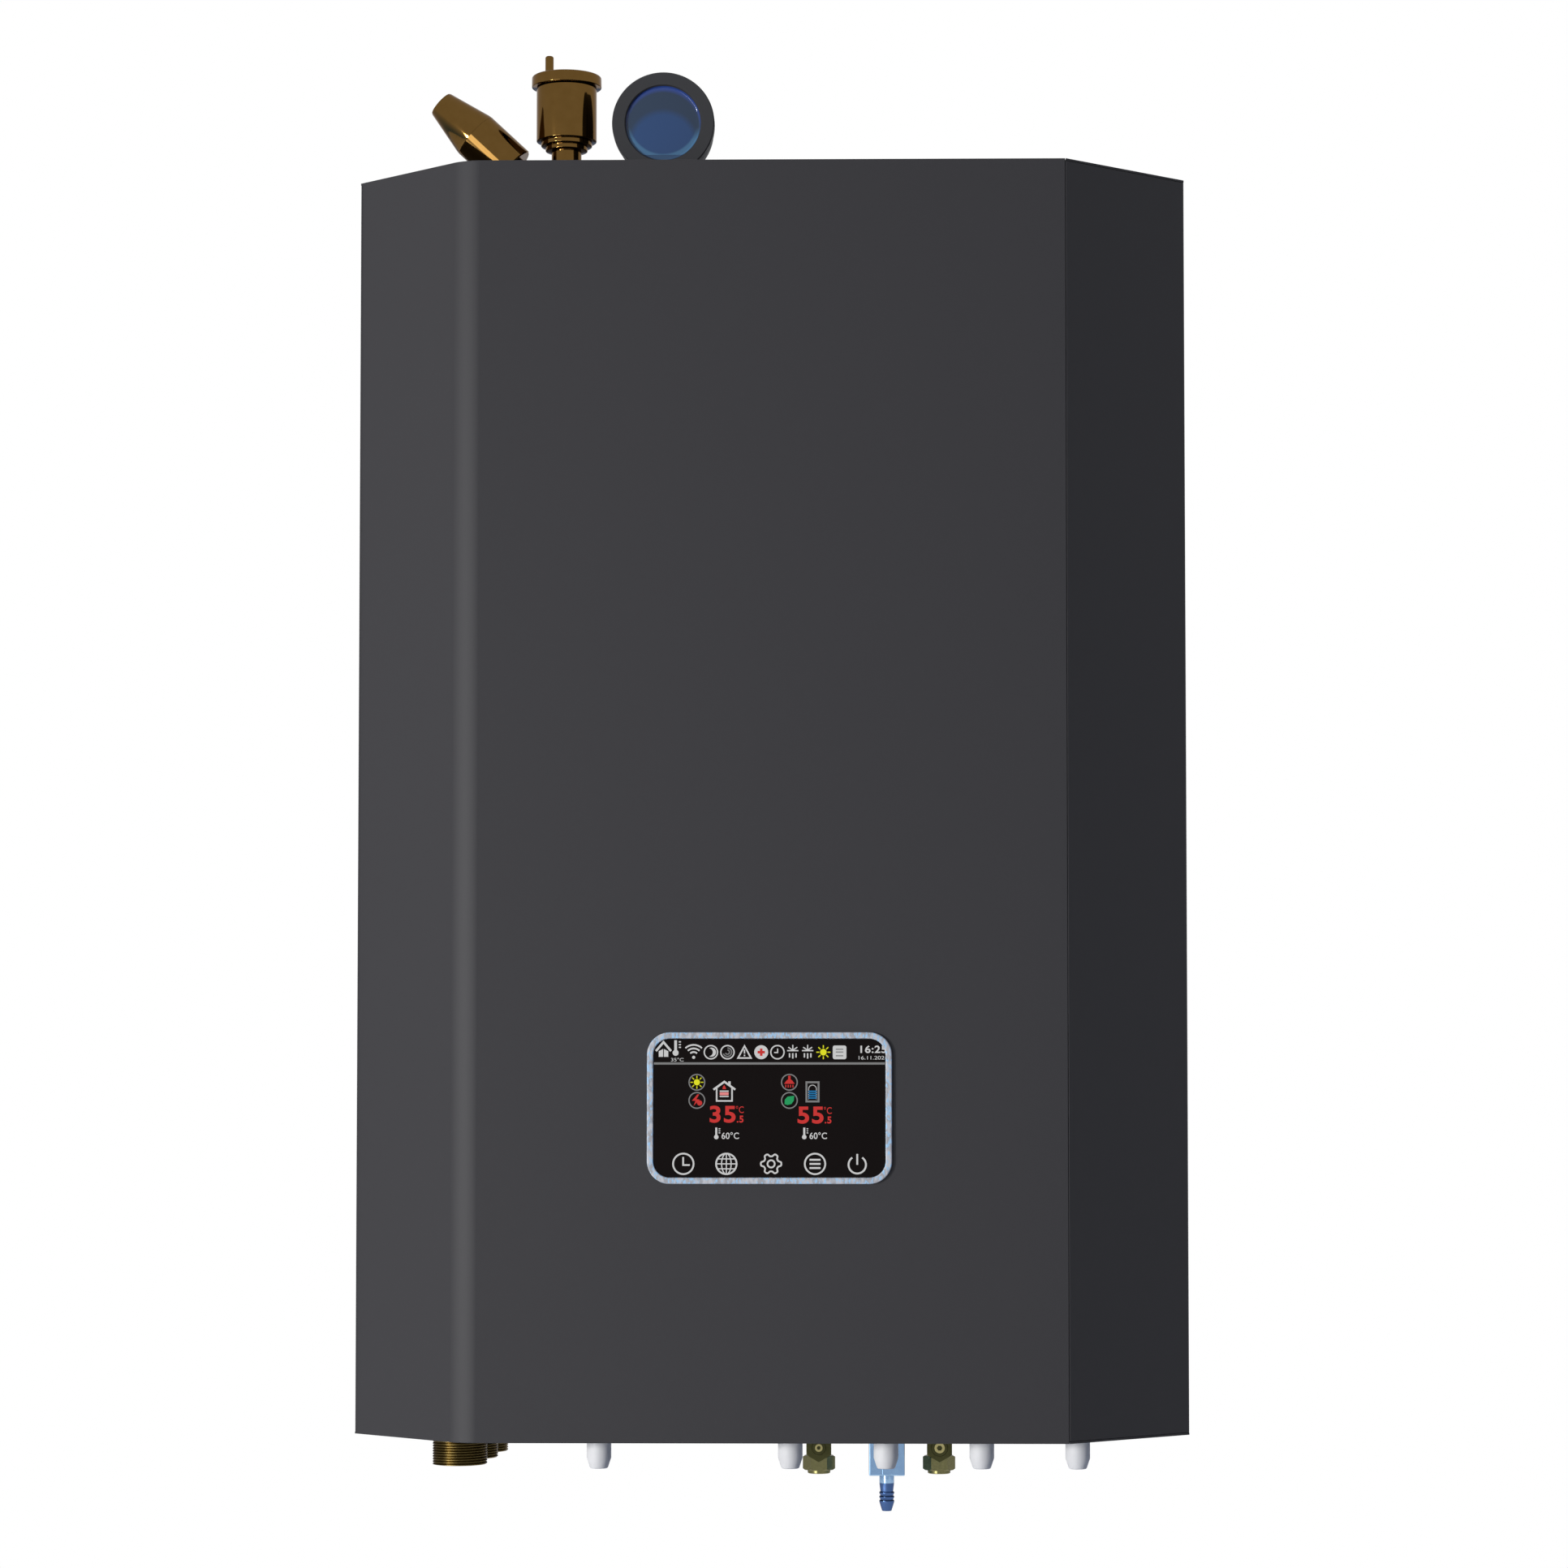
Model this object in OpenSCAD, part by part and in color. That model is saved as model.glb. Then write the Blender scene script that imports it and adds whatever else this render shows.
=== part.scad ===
// Wall-hung indoor unit of a split heat pump.
// Millimetres, X to the right, Y towards the wall, Z up.
// The origin is the centre of the two wall bolts, on the wall's surface.

/* [Casing] */
// Width of the casing
case_w = 500; // [490:1:560]
// Height of the casing
case_h = 757; // [750:1:820]
// Depth of the casing, from the wall to the front face
case_d = 275; // [270:1:320]
// Thickness of the casing's sheet steel
sheet = 1.2; // [0.8:0.1:1.6]
// Width that the right angled face takes off the front
right_corner_w = 75; // [60:1:85]
// Width that the left angled face takes off the front
left_corner_w = 69; // [60:1:85]
// Depth of both angled faces
corner_d = 62; // [50:1:70]
// Outer radius of the bend between front and left angled face
bend_r = 21; // [10:1:24]
// Width of the casing's return flanges
flange_w = 14; // [10:1:16]
// Gap at seams and between pieces that don't move
seam = 0.3; // [0.2:0.1:0.5]

/* [Wall hanging] */
// Space between the wall and the back panel
wall_gap = 20; // [16:1:24]
// Height of the wall bolts above the casing's bottom
bolt_height = 665; // [600:1:690]
// Distance between the two wall bolts
bolt_spacing = 300; // [200:1:320]
// Radius of the wall bolt holes
bolt_hole_r = 4.5; // [3:0.1:6]
// Length of the wall rail
rail_w = 380; // [360:1:420]
// Thickness of the wall rail's steel
rail_t = 3; // [2:0.1:4]
// Radius of the panel screws
screw_r = 2; // [1.5:0.1:2.5]

/* [Touch screen] */
// Width of the screen's frame
screen_w = 143.6; // [130:0.1:160]
// Height of the screen's frame
screen_h = 88.8; // [80:0.1:100]
// Outer corner radius of the screen's frame
screen_r = 13.4; // [8:0.1:18]
// Width of the frame's rim around the glass
rim_w = 3.8; // [3:0.1:6]
// How far the frame stands out of the cover
rim_out = 2.6; // [1:0.1:4]
// Height of the screen's centre above the casing's bottom
screen_z = 195.6; // [150:0.1:300]

/* [Fittings above] */
// How far the manifold's axis lies below the casing's top
manifold_drop = 16; // [14:1:24]
// Outer radius of the manifold
manifold_r = 12; // [10:0.5:13]
// Distance of the air vent's axis from the casing's middle
vent_left = 128.7; // [120:0.1:135]
// Radius of the air vent's body
vent_r = 18.7; // [16:0.1:20]
// Radius of the air vent's cap
vent_cap_r = 21.7; // [20:0.1:24]
// Height of the vent's cap above the casing's top, to its underside
vent_cap_height = 71.5; // [60:0.5:80]
// Thickness of the vent's cap
vent_cap_t = 7; // [5:0.1:9]
// Radius of the vent's bleed screw
bleed_r = 2.6; // [1.5:0.1:4]
// How far the bleed screw stands out of the cap
bleed_out = 13.2; // [8:0.1:18]
// Slope of the relief valve's axis above level
relief_angle = 43; // [40:1:50]
// Radius of the relief valve's cylinder
relief_r = 15.2; // [12:0.1:16]
// Radius at the tip of the relief valve's knob
relief_tip_r = 8.2; // [6:0.1:12]
// Length of the relief valve's cylinder
relief_len = 31.3; // [24:0.1:36]
// Length of the relief valve's tapered knob
relief_knob_len = 30.3; // [20:0.1:36]
// Distance of the gauge's axis from the casing's middle
gauge_left = 67.5; // [60:0.1:75]
// Height of the gauge's centre above the casing's top
gauge_height = 44; // [38:0.5:50]
// Radius of the gauge's ring
gauge_r = 31.6; // [28:0.1:34]
// Radius of the opening in the gauge's ring
gauge_window_r = 23.2; // [18:0.1:26]
// Depth of the gauge's case
gauge_d = 28; // [24:0.5:34]

/* [Connections below] */
// Distance of the water stubs' axes from the casing's left side
stub_inset = 61.5; // [55:0.5:70]
// Depth of the first water stub behind the front face
stub_depth = 80; // [76:1:90]
// Distance between the water stubs, front to back
stub_pitch = 75; // [65:1:78]
// Outer radius of the stubs' G1 thread
stub_r = 16.6; // [13:0.1:18]
// Bore radius of the water stubs
stub_bore_r = 12.5; // [10:0.1:13]
// Length of the first stub below the casing
stub_drop = 19.5; // [14:0.5:30]
// Extra length of each stub further back
stub_drop_step = 3; // [0:0.5:5]
// Depth of the cable glands' row behind the front face
gland_depth = 40; // [32:1:44]
// Distance between gland places
gland_pitch = 56.8; // [45:0.1:60]
// Distance of the last gland from the casing's middle
gland_last_x = 182; // [160:0.1:190]
// Outer radius of a cable gland
gland_r = 7.3; // [6:0.1:9]
// Radius at a gland's mouth
gland_mouth_r = 5.4; // [4:0.1:7]
// Bore radius of a cable gland
gland_bore_r = 3.5; // [2:0.1:4]
// Length of a gland below the casing
gland_drop = 18.2; // [14:0.1:24]
// Length of a gland's tapered end
gland_taper = 6.6; // [4:0.1:8]
// Depth of the service valves behind the front face
valve_depth = 95; // [90:1:110]
// Distance of the gas valve from the casing's middle
gas_valve_x = 28.2; // [22:0.1:34]
// Distance of the liquid valve from the casing's middle
liquid_valve_x = 101; // [95:0.1:105]
// Width across flats of the valves' front hexagon
bonnet_af = 15; // [12:0.1:17]
// Height of the valve spindles' axis below the casing's bottom
spindle_drop = 9.6; // [7:0.1:12]
// Radius of the gas valve's spindle
gas_spindle_r = 2.3; // [1.8:0.1:3.2]
// Radius of the liquid valve's spindle
liquid_spindle_r = 3.1; // [1.8:0.1:3.5]
// Width across flats of the flare nuts
nut_af = 17; // [14:0.1:19]
// Height of a flare nut's hexagon
nut_h = 8.6; // [7:0.1:10]
// Bore radius of a flare nut's collar
nut_bore_r = 3.25; // [2:0.05:4]
// Distance of the drain block from the casing's middle
drain_x = 69.3; // [64:0.1:72]
// Width of the square drain block
drain_w = 21.6; // [18:0.1:24]
// Length of the drain block below the casing
drain_drop = 27; // [22:0.5:34]
// Radius of the drain's hose barb
barb_r = 4.45; // [3.5:0.05:6]
// Length of the hose barb
barb_len = 22; // [20:0.5:30]
// Width of the square drain key
key_w = 5.8; // [4:0.1:7]

/* [Water side] */
// Outer diameter of the water pipes
pipe_d = 22; // [18:0.5:24]
// Wall of the pipes
pipe_wall = 1; // [0.7:0.1:1.5]
// Bend radius of the water pipes, at their middle
pipe_bend = 24; // [23:0.5:25]
// Outer diameter of the thin branch pipes
branch_d = 12; // [10:0.5:14]
// Radius of the expansion vessel
vessel_r = 150; // [120:1:152]
// Thickness of the expansion vessel
vessel_t = 84; // [60:1:90]
// Width of the plate heat exchanger
exchanger_w = 112; // [100:1:114]
// Height of the plate heat exchanger
exchanger_h = 290; // [280:1:320]
// Depth of the plate heat exchanger
exchanger_d = 60; // [40:1:64]
// Radius of the backup heater's tube
heater_r = 30; // [25:0.5:31]
// Height of the backup heater's tube
heater_h = 365; // [350:1:375]
// Radius of the pump's housing
pump_r = 42; // [38:0.5:46]
// Length of the pump, port to port
pump_len = 130; // [120:1:140]
// Radius of the pump's impeller
impeller_r = 30; // [24:0.5:32]
// Radius of the diverter's ball
ball_r = 13.7; // [11:0.1:15]

/* [Refrigerant side] */
// Outer diameter of the refrigerant pipes
gas_d = 9.5; // [8:0.1:12]
// Bend radius of the refrigerant pipes, at their middle
gas_bend = 14; // [12:0.5:15]

/* [Control side] */
// Width of the control box
box_w = 250; // [230:1:254]
// Height of the control box
box_h = 260; // [220:1:270]
// Depth of the control box
box_d = 48; // [40:1:52]
// Height of the control box's bottom above the casing's bottom
box_z = 70; // [66:1:90]
// Thickness of the main board
board_t = 1.6; // [1:0.1:2]

/* [Hidden] */

steel_grey = [0.25, 0.25, 0.26];
dark_grey = [0.16, 0.16, 0.18];
silver = [0.64, 0.66, 0.70];
zinc = [0.72, 0.73, 0.75];
brass = [0.50, 0.37, 0.18];
olive_brass = [0.44, 0.42, 0.24];
copper = [0.72, 0.42, 0.28];
chrome = [0.55, 0.68, 0.82];
white = [0.90, 0.90, 0.90];
black = [0.08, 0.07, 0.07];
red_paint = [0.65, 0.12, 0.10];
board_green = [0.10, 0.35, 0.20];

// A true circle has more than 12 sides here
$fn = 48;
eps = 0.01;

left_x = -case_w / 2;
right_x = case_w / 2;
front_y = -case_d;
fold_left_x = left_x + left_corner_w;
fold_right_x = right_x - right_corner_w;
corner_y = front_y + corner_d;
panel_y = -wall_gap;
inner_back_y = panel_y - sheet;

// Running clearance of a shaft in its bore
run = 0.08;
// Clearance round moving pieces that touch nothing
free = 0.6;

stub_x = left_x + stub_inset;
stub_ys = [for (i = [0 : 2]) front_y + stub_depth + i * stub_pitch];
diverter_y = (stub_ys[0] + stub_ys[1]) / 2;
// The top fittings stand in the diverter's plane, so that the supply pipe drops straight
top_y = diverter_y;
manifold_z = case_h - manifold_drop;
vent_x = -vent_left;
gauge_x = -gauge_left;
gauge_z = case_h + gauge_height;
// The gauge stands with its stem in the manifold's plane
gauge_front_y = top_y - gauge_d + 4;

stub_ends = [for (i = [0 : 2]) -stub_drop - i * stub_drop_step];
stub_top = 42;

// Six places, and the second one stays empty
gland_xs = [for (i = [0, 1, 2, 3, 5]) gland_last_x - i * gland_pitch];
gland_y = front_y + gland_depth;
valve_y = front_y + valve_depth;
valve_top = 32;

// The box stays clear of the right angled face
box_inset = 42;
box_depth = 35;
box_right = right_x - box_inset;
box_left = box_right - box_w;
box_front = front_y + box_depth;
box_back = box_front + box_d;

exchanger_inset = 70;
exchanger_depth = 125;
exchanger_x = right_x - exchanger_inset;
exchanger_z = 380;
exchanger_front = front_y + exchanger_depth;
port_dx = 30;
port_edge = 30;
port_len = 15;
exchanger_ports_z = [exchanger_z + port_edge, exchanger_z + exchanger_h - port_edge];

heater_x = 97;
heater_gap = 3.8;
heater_y = inner_back_y - heater_r - heater_gap;
heater_z = 350;
heater_top_port = 25;
// The heater's lower port lies level with the exchanger's
heater_ports_z = [exchanger_ports_z[0], heater_z + heater_h - heater_top_port];

pump_x = -115;
pump_depth = 135;
pump_y = front_y + pump_depth;
pump_z = 320;

vessel_x = -85;
vessel_z = 560;
vessel_back = inner_back_y - seam;
vessel_mid = vessel_back - vessel_t / 2;

diverter_z = 100;
diverter_rise = 38;
diverter_top = diverter_z + diverter_rise;
actuator_gap = 30;
actuator_w = 58;
actuator_x = [stub_x + actuator_gap, stub_x + actuator_gap + actuator_w];

function unit(v) = v / norm(v);

// Places a piece that is drawn from the casing's bottom in the part's frame
module in_case() {
    translate([0, 0, -bolt_height]) children();
}

module rod_x(r, x0, x1, y, z) {
    translate([x0, y, z]) rotate([0, 90, 0]) cylinder(r = r, h = x1 - x0);
}

module rod_y(r, y0, y1, x, z) {
    translate([x, y1, z]) rotate([90, 0, 0]) cylinder(r = r, h = y1 - y0);
}

module rod_z(r, z0, z1, x, y) {
    translate([x, y, z0]) cylinder(r = r, h = z1 - z0);
}

// A box between two opposite corners
module block(low, high) {
    translate(low) cube(high - low);
}

module hex_z(flats, z0, z1, x, y) {
    translate([x, y, z0]) cylinder(r = flats / sqrt(3), h = z1 - z0, $fn = 6);
}

module rounded_rect(w, h, r) {
    offset(r = r) square([w - 2 * r, h - 2 * r], center = true);
}

// A plate in the plane of the front, rounded at its corners
module front_plate(w, h, r, y0, y1, x, z) {
    translate([x, y1, z]) rotate([90, 0, 0]) linear_extrude(y1 - y0) rounded_rect(w, h, r);
}

// Pipes follow a list of corner points with one bend radius
function turn_at(p, i) = acos(unit(p[i] - p[i - 1]) * unit(p[i + 1] - p[i]));
function trim_at(p, i, bend) = i == 0 || i == len(p) - 1 ? 0 : bend * tan(turn_at(p, i) / 2);

module straight_run(a, b, d) {
    z = unit(b - a);
    side = abs(z[2]) > 0.9 ? [1, 0, 0] : [0, 0, 1];
    x = unit(cross(side, z));
    y = cross(z, x);
    multmatrix([[x[0], y[0], z[0], a[0]], [x[1], y[1], z[1], a[1]], [x[2], y[2], z[2], a[2]]])
        cylinder(d = d, h = norm(b - a));
}

module bend_run(p, i, bend, d) {
    u = unit(p[i] - p[i - 1]);
    v = unit(p[i + 1] - p[i]);
    w = unit(v - u * (u * v));
    a = p[i] - u * trim_at(p, i, bend);
    c = a + w * bend;
    n = cross(u, w);
    multmatrix([[-w[0], u[0], n[0], c[0]], [-w[1], u[1], n[1], c[1]], [-w[2], u[2], n[2], c[2]]])
        rotate_extrude(angle = turn_at(p, i)) translate([bend, 0]) circle(d = d);
}

module pipe_core(p, bend, d) {
    for (i = [0 : len(p) - 2]) {
        u = unit(p[i + 1] - p[i]);
        straight_run(p[i] + u * trim_at(p, i, bend), p[i + 1] - u * trim_at(p, i + 1, bend), d);
    }
    if (len(p) > 2) {
        for (i = [1 : len(p) - 2]) bend_run(p, i, bend, d);
    }
}

// The same route with both ends carried on a little
function longer(p, extra) = [for (i = [0 : len(p) - 1])
    i == 0 ? p[0] - unit(p[1] - p[0]) * extra
    : i == len(p) - 1 ? p[i] + unit(p[i] - p[i - 1]) * extra
    : p[i]];

module pipe(p, d, bend) {
    difference() {
        pipe_core(p, bend, d);
        pipe_core(longer(p, 1), bend, d - 2 * pipe_wall);
    }
}

// Casing, seen from above
face_n = unit([-corner_d, -left_corner_w]);
bend_c = [fold_left_x + bend_r * (1 + face_n[1]) / -face_n[0], front_y + bend_r];

module sharp_outline() {
    polygon([[fold_right_x, front_y], [right_x, corner_y], [right_x, 0], [left_x, 0],
        [left_x, corner_y], [fold_left_x, front_y]]);
}

module casing_outline(inset) {
    r = bend_r - inset;
    difference() {
        offset(delta = -inset) sharp_outline();
        polygon([bend_c + r * [0, -1], bend_c + 3 * ([fold_left_x, front_y] - bend_c), bend_c + r * face_n]);
    }
    translate(bend_c) circle(r = r);
}

module cover_region(grow) {
    translate([left_x - 1, front_y - 1])
        square([fold_right_x - left_x + 1 + grow, corner_d + 1 + grow]);
}

// The strip of the given width along the inside of the front and left angled face
module cover_band(width) {
    intersection() {
        difference() {
            casing_outline(0);
            casing_outline(width);
        }
        cover_region(0);
    }
}

stud_r = 3;
stud_len = 18;
stud_edge = 30;
// Both columns of studs stand midway between their neighbours in the gland row
stud_xs = [(fold_left_x + gland_xs[4]) / 2, (gland_xs[1] + gland_xs[2]) / 2];
stud_points = [for (x = stud_xs) for (z = [stud_edge, case_h - stud_edge]) [x, z]];

module front_cover() {
    color(steel_grey) in_case() {
        difference() {
            union() {
                linear_extrude(case_h) cover_band(sheet);
                linear_extrude(sheet) cover_band(flange_w);
                translate([0, 0, case_h - sheet]) linear_extrude(sheet) cover_band(flange_w);
                block([left_x, corner_y - sheet, 0], [left_x + flange_w, corner_y, case_h]);
                block([fold_right_x - sheet, front_y, 0], [fold_right_x, front_y + flange_w, case_h]);
            }
            front_plate(screen_w - 2 * rim_w, screen_h - 2 * rim_w, screen_r - rim_w,
                front_y - 1, front_y + sheet + 1, 0, screen_z);
        }
        for (p = stud_points) rod_y(stud_r, front_y + sheet - eps, front_y + stud_len, p[0], p[1]);
    }
}

screen_neck_w = screen_w - 2 * rim_w - 2 * seam;
screen_neck_h = screen_h - 2 * rim_w - 2 * seam;
screen_neck_r = screen_r - rim_w - seam;
screen_wall = 1.6;
screen_depth = 16;

module screen_frame() {
    color(silver) in_case() difference() {
        union() {
            front_plate(screen_w, screen_h, screen_r, front_y - rim_out, front_y, 0, screen_z);
            front_plate(screen_neck_w, screen_neck_h, screen_neck_r,
                front_y - eps, front_y + screen_depth, 0, screen_z);
        }
        front_plate(screen_w - 2 * rim_w, screen_h - 2 * rim_w, screen_r - rim_w,
            front_y - rim_out - 1, front_y - seam, 0, screen_z);
        front_plate(screen_neck_w - 2 * screen_wall, screen_neck_h - 2 * screen_wall,
            screen_neck_r - screen_wall, front_y - rim_out, front_y + screen_depth - 2, 0, screen_z);
    }
}

// The glass stands a little back from the rim, with the display bonded behind it
module screen_glass() {
    color(black) in_case() {
        front_plate(screen_w - 2 * rim_w - 2 * seam, screen_h - 2 * rim_w - 2 * seam,
            screen_r - rim_w - seam, front_y - rim_out + 1, front_y - seam, 0, screen_z);
        front_plate(screen_neck_w - 2 * screen_wall - 2 * seam, screen_neck_h - 2 * screen_wall - 2 * seam,
            screen_neck_r - screen_wall - seam, front_y - seam - eps,
            front_y + screen_depth - 2 - seam, 0, screen_z);
    }
}

rear_flange_w = 20;
side_rear_y = -2;
side_bottom = sheet + seam;
side_height = case_h - 2 * side_bottom;
screw_zs = [60, 250, 500, 700];
screw_xs = [left_x + rear_flange_w / 2, right_x - rear_flange_w / 2];
screw_points = [for (x = screw_xs) for (z = screw_zs) [x, z]];

// The side's strip of sheet from the casing's outline, without the wall side
module side_sheet(x0, x1, y0) {
    intersection() {
        difference() {
            casing_outline(0);
            casing_outline(sheet);
        }
        translate([x0, y0]) square([x1 - x0, side_rear_y - y0]);
    }
}

module rear_screw_holes() {
    for (p = screw_points) rod_y(screw_r + 0.1, inner_back_y - 10, panel_y + 10, p[0], p[1]);
}

module left_panel() {
    color(steel_grey) in_case() difference() {
        translate([0, 0, side_bottom]) linear_extrude(side_height) {
            side_sheet(left_x - 1, left_x + 2 * sheet, corner_y + seam);
            translate([left_x, corner_y + seam]) square([flange_w, sheet]);
            translate([left_x, inner_back_y - seam - sheet]) square([rear_flange_w, sheet]);
        }
        rear_screw_holes();
    }
}

module right_panel() {
    color(steel_grey) in_case() difference() {
        translate([0, 0, side_bottom]) linear_extrude(side_height) {
            side_sheet(fold_right_x + seam, right_x + 1, front_y - 1);
            translate([fold_right_x + seam, front_y + 1.5 * sheet]) square([sheet, flange_w - 1.5 * sheet]);
            translate([right_x - rear_flange_w, inner_back_y - seam - sheet]) square([rear_flange_w, sheet]);
        }
        rear_screw_holes();
    }
}

// Top and bottom plates stop behind the cover's flanges
module end_plate() {
    casing_outline(flange_w + seam);
    intersection() {
        casing_outline(0);
        union() {
            translate([fold_right_x + seam, front_y - 1]) square([right_corner_w + 1, case_d + 1]);
            translate([left_x - 1, corner_y + seam]) square([case_w + 2, case_d - corner_d]);
        }
    }
}

// The manifold's two slanted ports share one slot, and the gauge's stem has its own hole
slot_x = [vent_x - 40, vent_x + 16];
slot_half = 14;
gauge_stem_r = 5;
gauge_hole_r = gauge_stem_r + 5;

module top_panel() {
    color(steel_grey) in_case() difference() {
        translate([0, 0, case_h - sheet]) linear_extrude(sheet) end_plate();
        block([slot_x[0], top_y - slot_half, case_h - 5], [slot_x[1], top_y + slot_half, case_h + 5]);
        rod_z(gauge_hole_r, case_h - 5, case_h + 5, gauge_x, top_y);
    }
}

gland_thread_r = 5.9;
// Half width and front reach of the cut-out round a service valve
valve_gap = 9.5;
bonnet_gap = 19;

module bottom_panel() {
    color(steel_grey) in_case() difference() {
        linear_extrude(sheet) end_plate();
        for (y = stub_ys) rod_z(stub_r + seam, -5, 5, stub_x, y);
        for (x = gland_xs) rod_z(gland_thread_r + seam, -5, 5, x, gland_y);
        for (x = [gas_valve_x, liquid_valve_x]) {
            block([x - valve_gap, valve_y - bonnet_gap, -5], [x + valve_gap, valve_y + valve_gap, 5]);
        }
        block([drain_x - drain_w / 2 - seam, valve_y - drain_w / 2 - seam, -5],
            [drain_x + drain_w / 2 + seam, valve_y + drain_w / 2 + seam, 5]);
    }
}

hook_t = 2.5;
hook_w = rail_w - 20;
hook_drop = 16;
rail_upright_y = [-9, -6];
rail_half = 25;
rail_top = bolt_height + 47;
hook_top = rail_top + seam + hook_t;
foot_r = 12;
foot_z = 60;

// Flat back with the hook strip that hangs over the wall rail
module back_panel() {
    color(zinc) in_case() {
        difference() {
            block([left_x + sheet + seam, inner_back_y, side_bottom],
                [right_x - sheet - seam, panel_y, case_h - side_bottom]);
            rear_screw_holes();
        }
        block([-hook_w / 2, panel_y - eps, hook_top - hook_t],
            [hook_w / 2, rail_upright_y[1] + seam + hook_t, hook_top]);
        block([-hook_w / 2, rail_upright_y[1] + seam, rail_top - hook_drop],
            [hook_w / 2, rail_upright_y[1] + seam + hook_t, hook_top - hook_t + eps]);
        block([-hook_w / 2, panel_y - eps, rail_top - hook_drop],
            [hook_w / 2, panel_y + hook_t, hook_top - hook_t + eps]);
        // Two spacer feet keep the lower edge off the wall
        for (x = [-hook_w / 2, hook_w / 2]) rod_y(foot_r, panel_y - eps, -seam, x, foot_z);
    }
}

module wall_rail() {
    color(zinc) in_case() difference() {
        union() {
            block([-rail_w / 2, -rail_t, bolt_height - rail_half], [rail_w / 2, 0, bolt_height + rail_half]);
            block([-rail_w / 2, rail_upright_y[0], bolt_height + rail_half - rail_t],
                [rail_w / 2, 0, bolt_height + rail_half]);
            block([-rail_w / 2, rail_upright_y[0], bolt_height + rail_half - rail_t],
                [rail_w / 2, rail_upright_y[1], rail_top]);
        }
        for (x = [-bolt_spacing / 2, bolt_spacing / 2]) {
            rod_y(bolt_hole_r, -rail_t - 1, 1, x, bolt_height);
        }
    }
}

screw_len = 6;
screw_head_t = 2;

module panel_screws() {
    color(zinc) in_case() for (p = screw_points) {
        rod_y(screw_r, inner_back_y - screw_len, panel_y + eps, p[0], p[1]);
        rod_y(2 * screw_r, panel_y, panel_y + screw_head_t, p[0], p[1]);
    }
}

// Nylon clips on small angles hold the cover's studs
clip_w = 22;
clip_t = 3;
clip_foot = 16;

module cover_clips() {
    clip_y = front_y + stud_len;
    color(white) in_case() for (p = stud_points) {
        low = p[1] < case_h / 2;
        foot = low ? sheet + seam : case_h - sheet - seam - clip_t;
        reach = p[1] + (low ? clip_w / 2 : -clip_w / 2);
        z0 = low ? foot : reach;
        z1 = low ? reach : foot + clip_t;
        difference() {
            union() {
                block([p[0] - clip_w / 2, clip_y - clip_t, z0], [p[0] + clip_w / 2, clip_y, z1]);
                block([p[0] - clip_w / 2, clip_y - clip_t, foot],
                    [p[0] + clip_w / 2, clip_y + clip_foot, foot + clip_t]);
            }
            rod_y(stud_r + seam, front_y, clip_y + 5, p[0], p[1]);
        }
    }
}

bracket_t = 2;

// A hat bracket from the back panel to the back of a piece at depth y
module hat_bracket(x0, x1, y, z, h) {
    block([x0, y + seam, z], [x1, y + seam + bracket_t, z + h]);
    for (x = [x0, x1 - bracket_t]) {
        block([x, y + seam, z], [x + bracket_t, inner_back_y - seam, z + h]);
    }
}

clamp_h = 14;
clamp_ear = 22;

module heater_clamp(z) {
    difference() {
        union() {
            rod_z(heater_r + seam + bracket_t, z, z + clamp_h, heater_x, heater_y);
            block([heater_x - clamp_ear, inner_back_y - seam - bracket_t, z],
                [heater_x + clamp_ear, inner_back_y - seam, z + clamp_h]);
        }
        rod_z(heater_r + seam, z - 1, z + clamp_h + 1, heater_x, heater_y);
    }
}

// An arm from the back panel along the side of the control box, below the liquid pipe
arm_h = 36;
arm_drop = 90;
arm_z = box_z + box_h - arm_drop;

module box_arm(x) {
    block([x, box_front + 8, arm_z], [x + bracket_t, inner_back_y - seam, arm_z + arm_h]);
}

hat_half = 40;
hat_h = 24;
clamp_edge = 100;

module brackets() {
    color(zinc) in_case() {
        for (z = exchanger_ports_z) {
            hat_bracket(exchanger_x - hat_half, exchanger_x + hat_half, exchanger_front + exchanger_d,
                z - hat_h / 2, hat_h);
        }
        for (z = [heater_z + clamp_edge, heater_z + heater_h - clamp_edge]) heater_clamp(z);
        box_arm(box_left - seam - bracket_t);
        box_arm(box_right + seam);
    }
}

stub_hex_af = 38;
stub_hex_top = 14;
// The thread runs out into a neck just below the panel
stub_neck_r = stub_r - 0.6;
stub_neck_z = -1;

// Screwed stub: threaded end below, hexagon seat above the panel, plain end for the pipe
module water_stub(i) {
    end = stub_ends[i];
    difference() {
        union() {
            translate([stub_x, stub_ys[i], 0]) rotate_extrude() polygon([[0, end], [stub_r - 1, end],
                [stub_r, end + 1], [stub_r, stub_neck_z], [stub_neck_r, stub_neck_z],
                [stub_neck_r, stub_hex_top - 6], [0, stub_hex_top - 6]]);
            hex_z(stub_hex_af, sheet + seam, stub_hex_top, stub_x, stub_ys[i]);
            rod_z(pipe_d / 2 + 3, stub_hex_top - eps, stub_top, stub_x, stub_ys[i]);
        }
        rod_z(stub_bore_r, end - 1, stub_hex_top - 2, stub_x, stub_ys[i]);
        rod_z(pipe_d / 2 - pipe_wall, stub_hex_top - 3, stub_top + 1, stub_x, stub_ys[i]);
    }
}

module supply_stub() {
    color(brass) in_case() water_stub(0);
}

module tank_stub() {
    color(brass) in_case() water_stub(1);
}

module return_stub() {
    color(brass) in_case() water_stub(2);
}

gland_thread_top = 12;

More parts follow.
